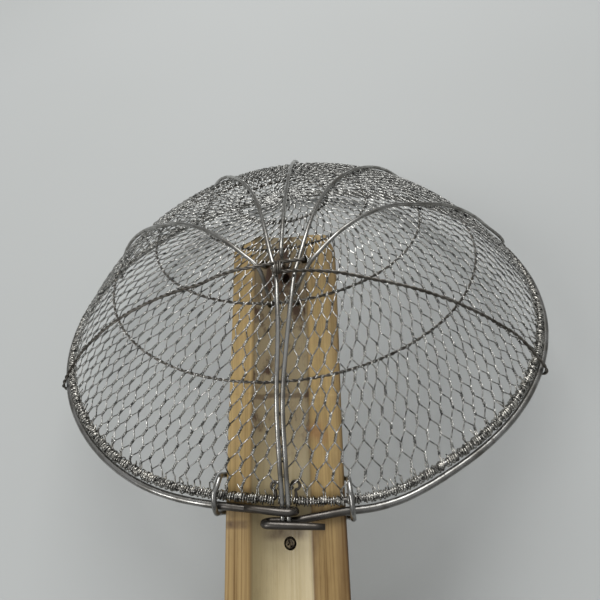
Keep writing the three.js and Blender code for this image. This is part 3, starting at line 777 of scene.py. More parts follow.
@dataclass
class Bowl:
    """Shape shared by all the pieces: the dome, the hoops' places and the slat's plane. Millimetres."""

    slat: Slat = Slat()
    radius: float = 125.0
    depth: float = 62.6
    power: float = 2.5
    rim_wire: float = 2.8
    edge_wire: float = 2.0
    binding_wire: float = 0.7
    rib_wire: float = 1.8
    cross_wire: float = 1.6
    ring_wire: float = 1.3
    lashing_wire: float = 1.8
    tie_wire: float = 0.9
    clearance: float = 0.35
    play: float = 0.15
    seat_angle: float = math.radians(44)
    net_thickness: float = 0.8
    slat_reach: float = 95.0
    slat_end_gap: float = 3.8
    slope_tries: int = 20
    lashing_gap: float = 1.8
    lean: float = -0.293959
    place: Place = (-0.0242, 113.1863, 39.6881)
    hub: float = 55.5
    hub_centre: float = 2.2
    middle: float = 1.2
    drawn_in: tuple[float, float, float] = (2.2, 187.0, 14.0)
    let_out: tuple[float, float, float] = (1.3, 162.0, 9.0)
    hook_drawn: float = 1.9
    hook_gap: float = 0.3
    hook_lead: float = 2.0
    rim_hook_top: float = math.radians(52)
    rim_hook_turns: tuple[float, ...] = (35.0, 0.0, -38.0, -76.0, -114.0, -150.0)
    rim_hook_play: Span = (0.1, 0.05)

    def __post_init__(self) -> None:
        """Work out the places that follow from the sizes."""
        self.rim_radius = self.rim_wire / 2
        self.rib_radius = self.rib_wire / 2
        self.cross_radius = self.cross_wire / 2
        self.lashing_radius = self.lashing_wire / 2
        self.wrap_outer = self.edge_wire / 2 + self.clearance + self.binding_wire
        reach = self.rim_radius + self.clearance + self.wrap_outer
        self.edge_radius = self.radius - reach * math.cos(self.seat_angle)
        self.edge_height = reach * math.sin(self.seat_angle)
        seat = self.net_thickness / 2 + self.clearance + self.play
        self.rib_lift = seat + self.rib_radius
        self.cross_lift = seat + self.cross_radius
        tie = self.clearance + self.tie_wire / 2
        self.tie_reach = self.cross_radius + tie + self.play
        self.hub_lift = self.rib_lift + self.rib_radius + tie + self.tie_reach
        self.slat_slope = 0.0
        end = self.height(self.radius - self.slat_reach) - self.slat_end_gap
        for _ in range(self.slope_tries):
            self.slat_slope = math.atan2(end - self.rise_at(self.slat_slope), self.slat_reach)
        self.slat_rise = self.rise_at(self.slat_slope)
        self.slat_inner = self.slat_reach / math.cos(self.slat_slope)
        self.lash_side = self.slat.width / 2 + self.lashing_gap + self.lashing_radius
        self.hook_step = self.rim_radius + self.clearance + self.rib_radius
        self.hook_run = 3 * self.wrap_outer + 2 * self.rib_wire + self.hook_lead
        self.down = np.array([0.0, -math.cos(self.slat_slope), -math.sin(self.slat_slope)])
        self.out = np.array([0.0, -math.sin(self.slat_slope), math.cos(self.slat_slope)])
        lift = self.hook_drawn * math.tan(self.slat_slope)
        self.left_base = np.array([0.0, self.hook_drawn - self.radius, lift])
        self.right_base = self.left_base + self.down * (self.rim_wire + self.clearance + self.hook_gap)

    def rise_at(self, slope: float) -> float:
        """Return the height of the slat's front below the rim for a slope."""
        sag = self.radius - math.sqrt(self.radius ** 2 - (self.slat.width / 2) ** 2)
        return -(self.rim_radius + self.clearance) / math.cos(slope) - sag * math.tan(slope)

    def matrix(self) -> Matrix:
        """Return where the bowl's frame lies."""
        return Matrix.Translation(Vector(self.place) * MM) @ Matrix.Rotation(self.lean, 4, "X")

    def slat_matrix(self) -> Matrix:
        """Return where the slat's frame lies."""
        base = Matrix.Translation(Vector((0.0, -self.radius, self.slat_rise)) * MM)
        return self.matrix() @ base @ Matrix.Rotation(self.slat_slope, 4, "X")

    def height(self, r: float | Points) -> float | Points:
        """Return the dome's height at a radius."""
        return self.depth * (1 - (r / self.radius) ** self.power)

    def slope(self, r: float | Points) -> float | Points:
        """Return the dome's slope at a radius."""
        return -self.depth * self.power / self.radius * (r / self.radius) ** (self.power - 1)

    def on_dome(self, x: float, y: float, lift: float) -> Points:
        """Return a point lifted off the dome above a plan place.

        Args:
            x: Across.
            y: Along.
            lift: Height off the dome, square to it.

        Returns:
            The point.
        """
        r = max(math.hypot(x, y), TINY)
        slope = self.slope(r)
        scale = lift / math.hypot(1.0, slope)
        return np.array([x - slope * scale * x / r, y - slope * scale * y / r, self.height(r) + scale])

    def by_slat(self, across: float, along: float, out: float) -> Points:
        """Return a point by its place on the slat.

        Args:
            across: Place across the slat.
            along: Place along it, from under the rim toward the inner end.
            out: Height off its front face.

        Returns:
            The point.
        """
        c, s = math.cos(self.slat_slope), math.sin(self.slat_slope)
        return np.array([across, -self.radius + along * c - out * s, self.slat_rise + along * s + out * c])

    @staticmethod
    def polar(degrees: float, r: float, z: float = 0.0) -> Points:
        """Return a point at a direction from the bowl's axis."""
        angle = math.radians(degrees)
        return np.array([r * math.sin(angle), r * math.cos(angle), z])

    def drawn(self, degrees: float | Points) -> float | Points:
        """Return how far the hoops are drawn in at a direction.

        Args:
            degrees: One direction or many.

        Returns:
            The distance at each.
        """
        def swell(size: float, middle: float, width: float) -> float | Points:
            """Return one soft swell."""
            return size * np.exp(-((degrees % 360 - middle) / width) ** 2)

        return swell(*self.drawn_in) - swell(*self.let_out)

    def on_hoop(self, degrees: float, r: float, z: float) -> Points:
        """Return a point of a hoop, drawn in and up the slat beside the handle."""
        drawn = self.drawn(degrees)
        return self.polar(degrees, r - drawn, z + drawn * math.tan(self.slat_slope))

    def rim_hook(self, degrees: float, radius: float) -> list[Points]:
        """Return the hooked end of a wire over the edge hoop and round the rim hoop.

        Args:
            degrees: Direction of the hook.
            radius: The wire's radius.

        Returns:
            Points of the hook.
        """
        over = self.wrap_outer + self.clearance + radius + self.rim_hook_play[0]
        around = self.rim_radius + self.clearance + radius + self.rim_hook_play[1]
        top = self.rim_hook_top
        points = [self.polar(
            degrees, self.edge_radius + over * math.cos(top), self.edge_height + over * math.sin(top)
        )]
        for angle in map(math.radians, self.rim_hook_turns):
            points.append(self.polar(
                degrees, self.radius + around * math.cos(angle), around * math.sin(angle)
            ))
        return points

    def landing(self, degrees: float) -> Points:
        """Return where a wire leaves the dome for its hook."""
        return self.polar(degrees, self.radius - self.hook_run)


def finish_piece(
    bag: MeshBag, name: str, node: str, material: bpy.types.Material, matrix: Matrix,
    bake: bool = True,
) -> bpy.types.Object:
    """Turn a bag into a piece that stands for a CAD node.

    Args:
        bag: The mesh data.
        name: The piece's name.
        node: The CAD node it replaces.
        material: Its material.
        matrix: Where its frame lies.
        bake: Whether the mesh itself is moved there.

    Returns:
        The piece.
    """
    made = bag.to_object(name, material, matrix, bake)
    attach(made, "root")
    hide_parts(node)
    LOG.info("%s: %d vertices", name, len(made.data.vertices))
    return made


@dataclass(frozen=True)
class RimEnd:
    """One hooked end of the rim hoop: its side, reach, tail, lean and the lean of its tail."""

    side: float
    reach: float
    tail: float
    lean: float
    tail_lean: float


@dataclass
class Hoops:
    """Rim hoop with hooked ends, edge hoop with eyes."""

    bowl: Bowl
    left: RimEnd = RimEnd(1.0, 2.1, 13.0, math.radians(-2), math.radians(18))
    right: RimEnd = RimEnd(-1.0, 3.8, 15.1, math.radians(-6), math.radians(-16))
    hook_turn: int = 180
    hook_step: int = 30
    rim_start: float = 185.0
    rim_gap: float = 1.2
    rim_steps: int = 72
    rim_sides: int = 14
    rim_pieces: int = 5
    join_parts: tuple[float, ...] = (0.3, 0.6, 0.85, 1.0)
    end_points: tuple[float, ...] = (0.0, 2.0, 4.0)
    end_sizes: tuple[float, ...] = (0.72, 0.94, 1.0)
    edge_steps: int = 80
    edge_pieces: int = 4
    eye_radius: float = 1.5
    eye_place: float = 3.7
    eye_gap: float = 0.7
    eye_foot: Span = (1.2, 2.6)
    eye_rise: float = 5.0
    eye_turn: float = 1.8 * math.pi
    eye_steps: int = 10
    eye_slope: float = math.radians(42)
    eye_points: Span = (44.0, 56.0)
    eye_sizes: Span = (0.52, 1.0)

    def toward(self, lean: float) -> Points:
        """Return the direction in which a hook stands off the slat."""
        return self.bowl.out * math.cos(lean) - self.bowl.down * math.sin(lean)

    def seat(self, end: RimEnd) -> Points:
        """Return the point where a hook's bend begins, on the middle line."""
        return self.bowl.left_base if end is self.left else self.bowl.right_base

    def hook(self, end: RimEnd) -> list[Points]:
        """Return one hooked end, from the hoop to the tip of its tail.

        Args:
            end: The end.

        Returns:
            Points of the hook.
        """
        def at(x: float, turn: float, lean: float) -> Points:
            """Return a point of the bend.

            Args:
                x: Where the bend begins, across.
                turn: How far it has turned, in degrees.
                lean: Its lean off the slat.

            Returns:
                The point.
            """
            angle = math.radians(turn)
            point = self.seat(end) + self.toward(lean) * self.bowl.hook_step * (1 - math.cos(angle))
            point[0] = end.side * (x + self.bowl.hook_step * math.sin(angle))
            return point

        bend = [at(end.reach, turn, end.lean) for turn in range(0, self.hook_turn + 1, self.hook_step)]
        return [*bend, at(-end.tail, self.hook_turn, end.tail_lean)]

    def rim_path(self) -> Points:
        """Return the rim hoop's centre line.

        Returns:
            Its points, from the tip of the left end to the tip of the right end.
        """
        bowl = self.bowl
        beside = bowl.lash_side - bowl.lashing_wire - self.rim_gap
        stop = 540 - math.degrees(math.asin(beside / bowl.radius))
        turn = [
            bowl.on_hoop(degrees, bowl.radius, 0.0)
            for degrees in np.linspace(self.rim_start, stop, self.rim_steps + 1)
        ]
        landing = bowl.right_base.copy()
        landing[0] = self.right.reach
        join = [turn[-1] + (landing - turn[-1]) * part for part in self.join_parts]
        return refine(self.hook(self.left)[::-1] + turn + join + self.hook(self.right), self.rim_pieces)

    def edge_path(self) -> Points:
        """Return the edge hoop's centre line.

        Returns:
            Its points, from eye to eye.
        """
        bowl = self.bowl
        up = np.array([0.0, math.cos(self.eye_slope), math.sin(self.eye_slope)])
        across = np.array([1.0, 0.0, 0.0])
        end = bowl.on_hoop(180.0, bowl.edge_radius, bowl.edge_height)

        def eye(side: float) -> list[Points]:
            """Return the curl at one end.

            Args:
                side: Minus one for the left and one for the right.

            Returns:
                Points of the curl, from the hoop on.
            """
            foot = end + across * (bowl.middle + side * self.eye_place)
            middle = foot + up * self.eye_rise
            curl = [foot + up * rise for rise in self.eye_foot]
            for turn in np.linspace(0.0, self.eye_turn, self.eye_steps + 1):
                angle = -math.pi / 2 + side * turn
                curl.append(middle + self.eye_radius * (across * math.cos(angle) + up * math.sin(angle)))
            return curl

        start = math.degrees(math.asin((self.eye_place + self.eye_gap) / bowl.edge_radius))
        turn = [
            bowl.on_hoop(degrees, bowl.edge_radius, bowl.edge_height)
            for degrees in np.linspace(180 + start, 540 - start, self.edge_steps + 1)
        ]
        return refine(eye(-1.0)[::-1] + turn + eye(1.0), self.edge_pieces)

    @staticmethod
    def tapered(path: Points, places: Sequence[float], sizes: Sequence[float]) -> Points:
        """Return the share of its radius that a wire has at each point, thinner at its ends."""
        count = np.arange(len(path))
        return np.interp(np.minimum(count, count[::-1]), places, sizes)

    def build(self) -> None:
        """Build and dress both hoops."""
        bowl = self.bowl
        steel = RIM_STEEL.material(bowl.matrix() @ (Vector(bowl.left_base) * MM))
        rim = MeshBag()
        path = self.rim_path()
        taper = self.tapered(path, self.end_points, self.end_sizes)
        rim.sweep(path, bowl.rim_radius * taper, self.rim_sides)
        finish_piece(rim, "rim_hoop_wire", "rim_hoop", steel, bowl.matrix())
        edge = MeshBag()
        path = self.edge_path()
        taper = self.tapered(path, self.eye_points, self.eye_sizes)
        edge.sweep(path, bowl.edge_wire / 2 * taper)
        finish_piece(edge, "edge_hoop_wire", "edge_hoop", steel, bowl.matrix())


@dataclass(frozen=True)
class NetZone:
    """One band of the netting: its radii, cells around, height of a row, twist, climb and sway."""

    inner: float
    outer: float
    cells: int
    pitch: float
    twist: float
    climb: int
    sway: float = 0.0


@dataclass
class Netting:
    """Hexagonal netting woven out from the middle, its edge winding and its four rings."""

    bowl: Bowl
    wire: float = 0.54
    sides: int = 5
    twists: int = 2
    steps: int = 14
    single_parts: tuple[float, ...] = (0.2, 0.4, 0.6, 0.8)
    lean_edge: float = 0.21
    lean_top: float = 0.36
    sway_from: float = math.radians(-150)
    twist_lean: float = 0.1
    coil: float = 0.7
    table_start: float = 0.5
    table_size: int = 900
    drawn_from: float = 0.7
    overlap: float = 0.4
    rows_before: int = 2
    rows_spare: int = 5
    holes: tuple[Place, ...] = ((-5.6, -53.2, 3.8), (9.4, -53.2, 4.0), (2.2, -45.8, 2.6))
    edge_gap: float = 1.2
    wrap_play: float = 0.22
    wrap_pace: float = 1.7
    wrap_swell: float = 1.02
    wrap_steps: int = 10
    wrap_start: float = 140.0
    wrap_fill: Span = (0.9, 0.1)
    wrap_turns: Span = (2.5, 12.0)
    wrap_loose: float = 0.3
    wrap_uneven: Span = (1.7, 0.41)
    end_uneven: Span = (2.399, 1.31)
    stub_in: Span = (0.9, 0.5)
    stub_up: Span = (0.8, 0.5)
    stub_length: Span = (2.0, 0.8)
    stub_aside: Span = (0.4, 1.3)
    ring_radii: tuple[float, ...] = (91.4, 65.0, 39.7, 21.7)
    ring_twist: float = 5.2
    ring_steps: int = 9
    ring_sides: int = 7
    ring_play: float = 0.1
    top_hole: float = 3.0
    ends: list[Points] = field(default_factory=list)

    def __post_init__(self) -> None:
        """Tabulate the dome's arc and the lean of the columns along it, and set the bands."""
        bowl = self.bowl
        reach = bowl.wrap_outer + bowl.clearance + bowl.net_thickness
        self.edge = bowl.edge_radius - reach * math.cos(bowl.seat_angle)
        self.radii = np.linspace(self.table_start, self.edge, self.table_size)
        gaps = np.hypot(np.diff(self.radii), np.diff(bowl.height(self.radii)))
        self.arcs = np.concatenate([[0.0], np.cumsum(gaps)])
        lean = self.lean_top + (self.lean_edge - self.lean_top) * (self.radii / self.edge) ** 2
        self.turns = np.concatenate([[0.0], np.cumsum((lean / self.radii)[1:] * np.diff(self.arcs))])
        first, second, third, fourth = self.ring_radii
        self.zones = (
            NetZone(first, self.edge, 126, 6.5, 3.9, 5, 0.55),
            NetZone(second, first, 101, 6.4, 3.8, 3, 0.2),
            NetZone(third, second, 86, 5.4, 2.9, 0),
            NetZone(fourth, third, 56, 4.6, 2.6, 0),
            NetZone(self.top_hole, fourth, 26, 4.2, 2.4, 0),
        )

    def bend(
        self, zone: NetZone, angle: Points, arc: Points, shift: Points, lift: Points
    ) -> tuple[Points, Points]:
        """Lay points of the netting on the dome.

        Args:
            zone: The band they belong to.
            angle: Direction of each point's column at the edge, in radians.
            arc: Distance of each point from the top, along the dome.
            shift: Shift of each point round the dome.
            lift: Height of each point off the dome.

        Returns:
            The points and the dome's normals there.
        """
        bowl = self.bowl
        r = np.interp(arc, self.arcs, self.radii)
        sway = 1 + zone.sway * np.cos(2 * (angle - self.sway_from))
        turned = angle - (self.turns[-1] - np.interp(arc, self.arcs, self.turns)) * sway
        outward, round_way = compass(turned)
        slope = bowl.slope(r)
        scale = 1 / np.hypot(1.0, slope)
        normal = outward * (-slope * scale)[:, None]
        normal[:, 2] = scale
        near = np.clip((r / self.edge - self.drawn_from) / (1 - self.drawn_from), 0.0, 1.0) ** 2
        drawn = bowl.drawn(np.degrees(turned)) * near
        points = outward * (r - drawn)[:, None] + round_way * shift[:, None]
        points[:, 2] = bowl.height(r) + drawn * math.tan(bowl.slat_slope)
        return points + normal * lift[:, None], normal

    def limits(self, zone: NetZone) -> Points:
        """Return a band's outer and inner distance from the top, along the dome."""
        return np.interp([zone.outer, zone.inner], self.radii, self.arcs)

    def strand(self, zone: NetZone, index: int) -> tuple[Points, Points, Points, Points]:
        """Return one zigzag wire of a band before it is laid on the dome.

        Args:
            zone: The band.
            index: The wire's place round the dome.

        Returns:
            Angles, distances from the top along the dome, shifts round the dome and lifts.
        """
        coil = self.wire * self.coil
        rise = zone.climb * 2 * zone.pitch / zone.cells
        outer, inner = self.limits(zone)
        first = int(-(index / 2 + 1) * rise / zone.pitch) - self.rows_before
        last = first + int((outer - inner) / zone.pitch) + self.rows_spare
        part = np.arange(self.steps + 1) / self.steps
        angles, ups, shifts, lifts = [], [], [], []
        for row in range(first, last + 1):
            same = (row - index) % 2 == 0
            column = index / 2 if same else index / 2 + 0.5
            turn = (0.0 if same else math.pi) + 2 * math.pi * self.twists * part
            angles.append(np.full(len(part), column * 2 * math.pi / zone.cells))
            ups.append(row * zone.pitch + column * rise + (part - 0.5) * zone.twist)
            shifts.append(coil * np.cos(turn) - self.twist_lean * (part - 0.5) * zone.twist)
            lifts.append(coil * np.sin(turn))
        arcs = outer - np.concatenate(ups)
        whole = np.arange(len(arcs))
        singles = whole[self.steps::self.steps + 1][:-1]
        extra = (singles[:, None] + np.array(self.single_parts)).ravel()
        fine = np.sort(np.concatenate([whole, extra]))
        given = (np.concatenate(angles), arcs, np.concatenate(shifts), np.concatenate(lifts))
        return tuple(np.interp(fine, whole, values) for values in given)

    def net(self) -> MeshBag:
        """Weave the netting, and keep where its wires reach the edge.

        Returns:
            The mesh of all its wires.
        """
        bag = MeshBag()
        for zone in self.zones:
            outer, inner = self.limits(zone)
            for index in range(2 * zone.cells):
                strand = self.strand(zone, index)
                keep = (strand[1] <= outer + self.overlap) & (strand[1] >= inner - self.overlap)
                points, normals = self.bend(zone, *(values[keep] for values in strand))
                for run in self.runs(points):
                    bag.sweep(points[run], self.wire / 2, self.sides, normals[run])
                if zone.outer == self.edge:
                    self.ends.append(points[0])
        return bag

    def runs(self, points: Points) -> list[Points]:
        """Return the stretches of a wire outside the holes where ribs pass.

        Args:
            points: The wire's points.

        Returns:
            Indices of each stretch.
        """
        clear = np.ones(len(points), bool)
        for x, y, radius in self.holes:
            clear &= np.hypot(points[:, 0] - x, points[:, 1] - y) > radius
        kept = np.flatnonzero(clear)
        cuts = np.flatnonzero(np.diff(kept) > 1) + 1
        return [run for run in np.split(kept, cuts) if len(run) > 2]

    def wrap(self, number: int, degrees: float, room: float, end: Points) -> Points:
        """Return the turns that one wire's end makes round the edge hoop, with its cut stub.

        Args:
            number: The wire's place in the row of ends.
            degrees: Its direction.
            room: Angle to the next end.
            end: The point where it leaves the net.

        Returns:
            Points of the wire.
        """
        bowl = self.bowl
        radius = bowl.edge_wire / 2 + self.wire / 2 + self.wrap_play
        pace = math.degrees(self.wire * self.wrap_pace / bowl.edge_radius)
        sway, nod = (math.sin(number * rate) for rate in self.end_uneven)

        def uneven(pair: Span, by: float) -> float:
            """Return a size with its sway."""
            return pair[0] + pair[1] * by

        least, most = self.wrap_turns
        turns = min(max(room / pace * uneven(self.wrap_fill, sway), least), most)
        path = [end]
        for k in range(int(turns * self.wrap_steps) + 1):
            turn = math.radians(self.wrap_start - 360 / self.wrap_steps * k)
            phase = number * self.wrap_uneven[0] + k * self.wrap_uneven[1]
            loose = radius + self.wrap_loose * math.sin(phase)
            path.append(bowl.on_hoop(
                degrees + pace * k / self.wrap_steps,
                bowl.edge_radius + loose * math.cos(turn),
                bowl.edge_height + loose * math.sin(turn),
            ))
        stub = bowl.polar(degrees, -uneven(self.stub_in, nod), uneven(self.stub_up, sway))
        aside = bowl.polar(degrees + 90, uneven(self.stub_aside, sway))
        path.append(path[-1] + stub * uneven(self.stub_length, sway) + aside)
        return np.array(path)

    def winding(self) -> MeshBag:
        """Wind the ends of all wires round the edge hoop.

        Returns:
            The mesh of all turns.
        """
        bowl = self.bowl
        bag = MeshBag()
        ends = sorted((math.degrees(math.atan2(p[0], p[1])) % 360, i) for i, p in enumerate(self.ends))
        for number, (degrees, i) in enumerate(ends):
            if abs(bowl.edge_radius * math.radians(degrees - 180) + bowl.middle) < self.edge_gap:
                continue
            room = (ends[(number + 1) % len(ends)][0] - degrees) % 360
            path = self.wrap(number, degrees, room, self.ends[i])
            bag.sweep(path, self.wire / 2 * self.wrap_swell, self.sides)
        return bag

    def ring(self, radius: float) -> MeshBag:
        """Return one ring of two wires twisted together.

        Args:
            radius: The ring's radius.

        Returns:
            The mesh of both strands.
        """
        bowl = self.bowl
        drop = bowl.net_thickness / 2 + bowl.clearance + bowl.ring_wire / 2 + self.ring_play
        centre = bowl.on_dome(0.0, radius, -drop)
        normal = bowl.on_dome(0.0, radius, 1.0) - bowl.on_dome(0.0, radius, 0.0)
        turns = int(round(2 * math.pi * radius / self.ring_twist))
        steps = turns * self.ring_steps
        angle = 2 * math.pi * np.arange(steps) / steps
        outward, _ = compass(angle)
        up = np.array([0.0, 0.0, 1.0])
        across = outward * normal[1] + up * normal[2]
        inward = up * normal[1] - outward * normal[2]
        path = outward * centre[1] + up * centre[2]
        bag = MeshBag()
        bag.twist(path, across, inward, turns * angle, bowl.ring_wire / 4, self.ring_sides, closed=True)
        return bag

    def build(self) -> None:
        """Build and dress the net, its winding and its rings."""
        where = self.bowl.matrix()
        finish_piece(self.net(), "net_wires", "net", NET_STEEL.material(), where)
        winding = WINDING_STEEL.material()
        finish_piece(self.winding(), "edge_winding", "edge_binding", winding, where)
        for number, radius in enumerate(self.ring_radii, start=1):
            name = f"ring_{number}"
            finish_piece(self.ring(radius), f"{name}_twist", name, DARK_STEEL.material(), where)


@dataclass(frozen=True)
class RibLay:
    """How a rib lies on the dome: its place at the hub, its hook's direction, its bow and stand-off."""

    hub: float
    degrees: float
    bow: float = 0.0
    bow_place: float = 0.4
    stand: float = 0.0
    stand_run: float = 80.0


@dataclass
class Ribs:
    """The fanned ribs over the dome and the pair along the handle."""

    bowl: Bowl
    hoops: Hoops
    step: float = 9.0
    plan_pieces: int = 24
    path_pieces: int = 6
    sides: int = 12
    pair_left: RibLay = RibLay(0.5, -35.0, 10.0)
    pair_right: RibLay = RibLay(7.6, 39.5, -10.5)
    side_left: RibLay = RibLay(-6.8, -72.5, 2.6, 0.26, 3.0, 70.0)
    side_right: RibLay = RibLay(13.2, 72.3, -3.4, 0.24, 3.4, 64.0)
    stand_power: float = 0.6
    centre_degrees: float = 1.1
    hole_left: float = -4.3
    hole_right: float = 7.0
    hole_reach: float = 83.5
    hole_leg: tuple[Span, ...] = ((1.6, 4.4), (0.2, 1.4), (0.0, -1.0))
    leg_end: float = 1.4
    side_start: float = 4.5
    back_play: float = 0.1
    back_turn: float = 0.7
    centre_start: float = 8.5
    centre_bend: float = 3.5
    centre_foot: tuple[Span, ...] = ((0.0, -5.8), (0.0, 1.0), (0.2, 5.5), (0.9, 7.6))
    hole_depth: float = 4.0
    pair_tail: float = 1.0
    pair_lead: float = 4.0
    pair_join: float = 42.0
    pair_split: float = 20.0
    pair_spread: float = 0.8
    pair_shift: float = 2.0

    def plan(self, places: Sequence[Span]) -> Points:
        """Return even steps of a smooth line through places in plan."""
        return resample(refine([(*place, 0.0) for place in places], self.plan_pieces), self.step)

    def over_dome(self, lay: RibLay, y: float) -> list[Points]:
        """Return a rib from the hub to its hook on the far rim.

        Args:
            lay: How it lies.
            y: Its place along at the hub.

        Returns:
            Points of the rib.
        """
        bowl = self.bowl
        start = np.array([lay.hub, y])
        end = bowl.landing(lay.degrees)[:2]
        run = end - start
        side = np.array([run[1], -run[0]]) / np.linalg.norm(run)
        points = []
        for i, p in enumerate(self.plan([start, start + run * lay.bow_place + side * lay.bow, end])):
            share = min(1.0, i * self.step / lay.stand_run)
            stand = lay.stand * math.sin(math.pi * share) ** self.stand_power
            points.append(bowl.on_dome(p[0], p[1], bowl.rib_lift + stand))
        return points + bowl.rim_hook(lay.degrees, bowl.rib_radius)

    def pair(self, lay: RibLay, offset: float) -> Points:
        """Return one rib of the pair, from its tail under the hooks to the far rim.

        Args:
            lay: How it lies on the dome.
            offset: Its place beside the pair's middle line.

        Returns:
            Points of the rib.
        """
        bowl, hoops = self.bowl, self.hoops
        x = bowl.middle + offset
        near = bowl.on_dome(x, -(bowl.radius - bowl.hook_run), bowl.rib_lift)
        upper, lower = (
            hoops.seat(end) + hoops.toward(end.lean) * bowl.hook_step for end in (hoops.left, hoops.right)
        )
        tail = lower + bowl.down * self.pair_tail
        for point in (upper, lower, tail):
            point[0] = x
        split = x + self.pair_shift + math.copysign(self.pair_spread, offset)
        plan = self.plan([
            (x, near[1] + self.pair_lead),
            (x, -bowl.hub - self.pair_join),
            (split, -bowl.hub - self.pair_split),
            (lay.hub, -bowl.hub),
        ])
        climb = [bowl.on_dome(p[0], p[1], bowl.rib_lift) for p in plan[:-1]]
        return refine([tail, lower, upper, near, *climb, *self.over_dome(lay, -bowl.hub)], self.path_pieces)

    def centre_along(self) -> float:
        """Return the place along the slat where the middle rib goes in.

        Returns:
            The place.
        """
        bowl = self.bowl
        top = bowl.on_dome(bowl.hub_centre, -bowl.hub + self.centre_start, bowl.rib_lift)
        back = top - bowl.by_slat(0.0, 0.0, 0.0)
        return back[1] * math.cos(bowl.slat_slope) + back[2] * math.sin(bowl.slat_slope)

    def centre(self) -> Points:
        """Return the middle rib, let into the slat at the hub.

        Returns:
            Points of the rib.
        """
        bowl = self.bowl
        along = self.centre_along()
        foot = [bowl.by_slat(bowl.hub_centre, along + ahead, out) for ahead, out in self.centre_foot]
        start = -bowl.hub + self.centre_start + self.centre_bend
        lay = RibLay(bowl.hub_centre, self.centre_degrees)
        return refine(foot + self.over_dome(lay, start), self.path_pieces)

    def side(self) -> Points:
        """Return the long rib that goes through the slat and back.

        Returns:
            Points of the rib.
        """
        bowl = self.bowl
        face = -bowl.slat.thickness
        back = face - bowl.clearance - bowl.rib_radius - self.back_play
        turn = (
            (self.back_play, face - bowl.clearance),
            (bowl.rib_radius * self.back_turn, back),
            (bowl.rib_wire, back - bowl.clearance),
        )

        def leg(x: float, inward: float) -> list[Points]:
            """Return the run down through the slat to its back.

            Args:
                x: The bore's place across.
                inward: One or minus one, toward the other bore.

            Returns:
                Points of the run.
            """
            down = [bowl.by_slat(x, self.hole_reach + ahead, out) for ahead, out in self.hole_leg]
            down.append(bowl.by_slat(x, self.hole_reach, face + self.leg_end))
            return down + [bowl.by_slat(x + inward * ahead, self.hole_reach, out) for ahead, out in turn]

        start = -bowl.hub + self.side_start
        left = self.over_dome(self.side_left, start)[::-1] + leg(self.hole_left, 1.0)
        right = leg(self.hole_right, -1.0)[::-1] + self.over_dome(self.side_right, start)
        return refine(left + right, self.path_pieces)

    def build(self) -> None:
        """Build and dress the ribs."""
        gap = (self.bowl.rib_wire + self.bowl.clearance) / 2
        paths = {
            "pair_rib_left": self.pair(self.pair_left, -gap),
            "pair_rib_right": self.pair(self.pair_right, gap),
            "centre_rib": self.centre(),
            "side_rib": self.side(),
        }
        steel = RIB_STEEL.material()
        for node, path in paths.items():
            bag = MeshBag()
            bag.sweep(path, self.bowl.rib_radius, self.sides)
            finish_piece(bag, f"{node}_wire", node, steel, self.bowl.matrix())


@dataclass(frozen=True)
class CrossLay:
    """How a cross wire lies: its side, its hook's direction, its tip at the hub, shift and extra height."""

    side: float
    end: float
    tip: Span
    shift: float
    raised: float


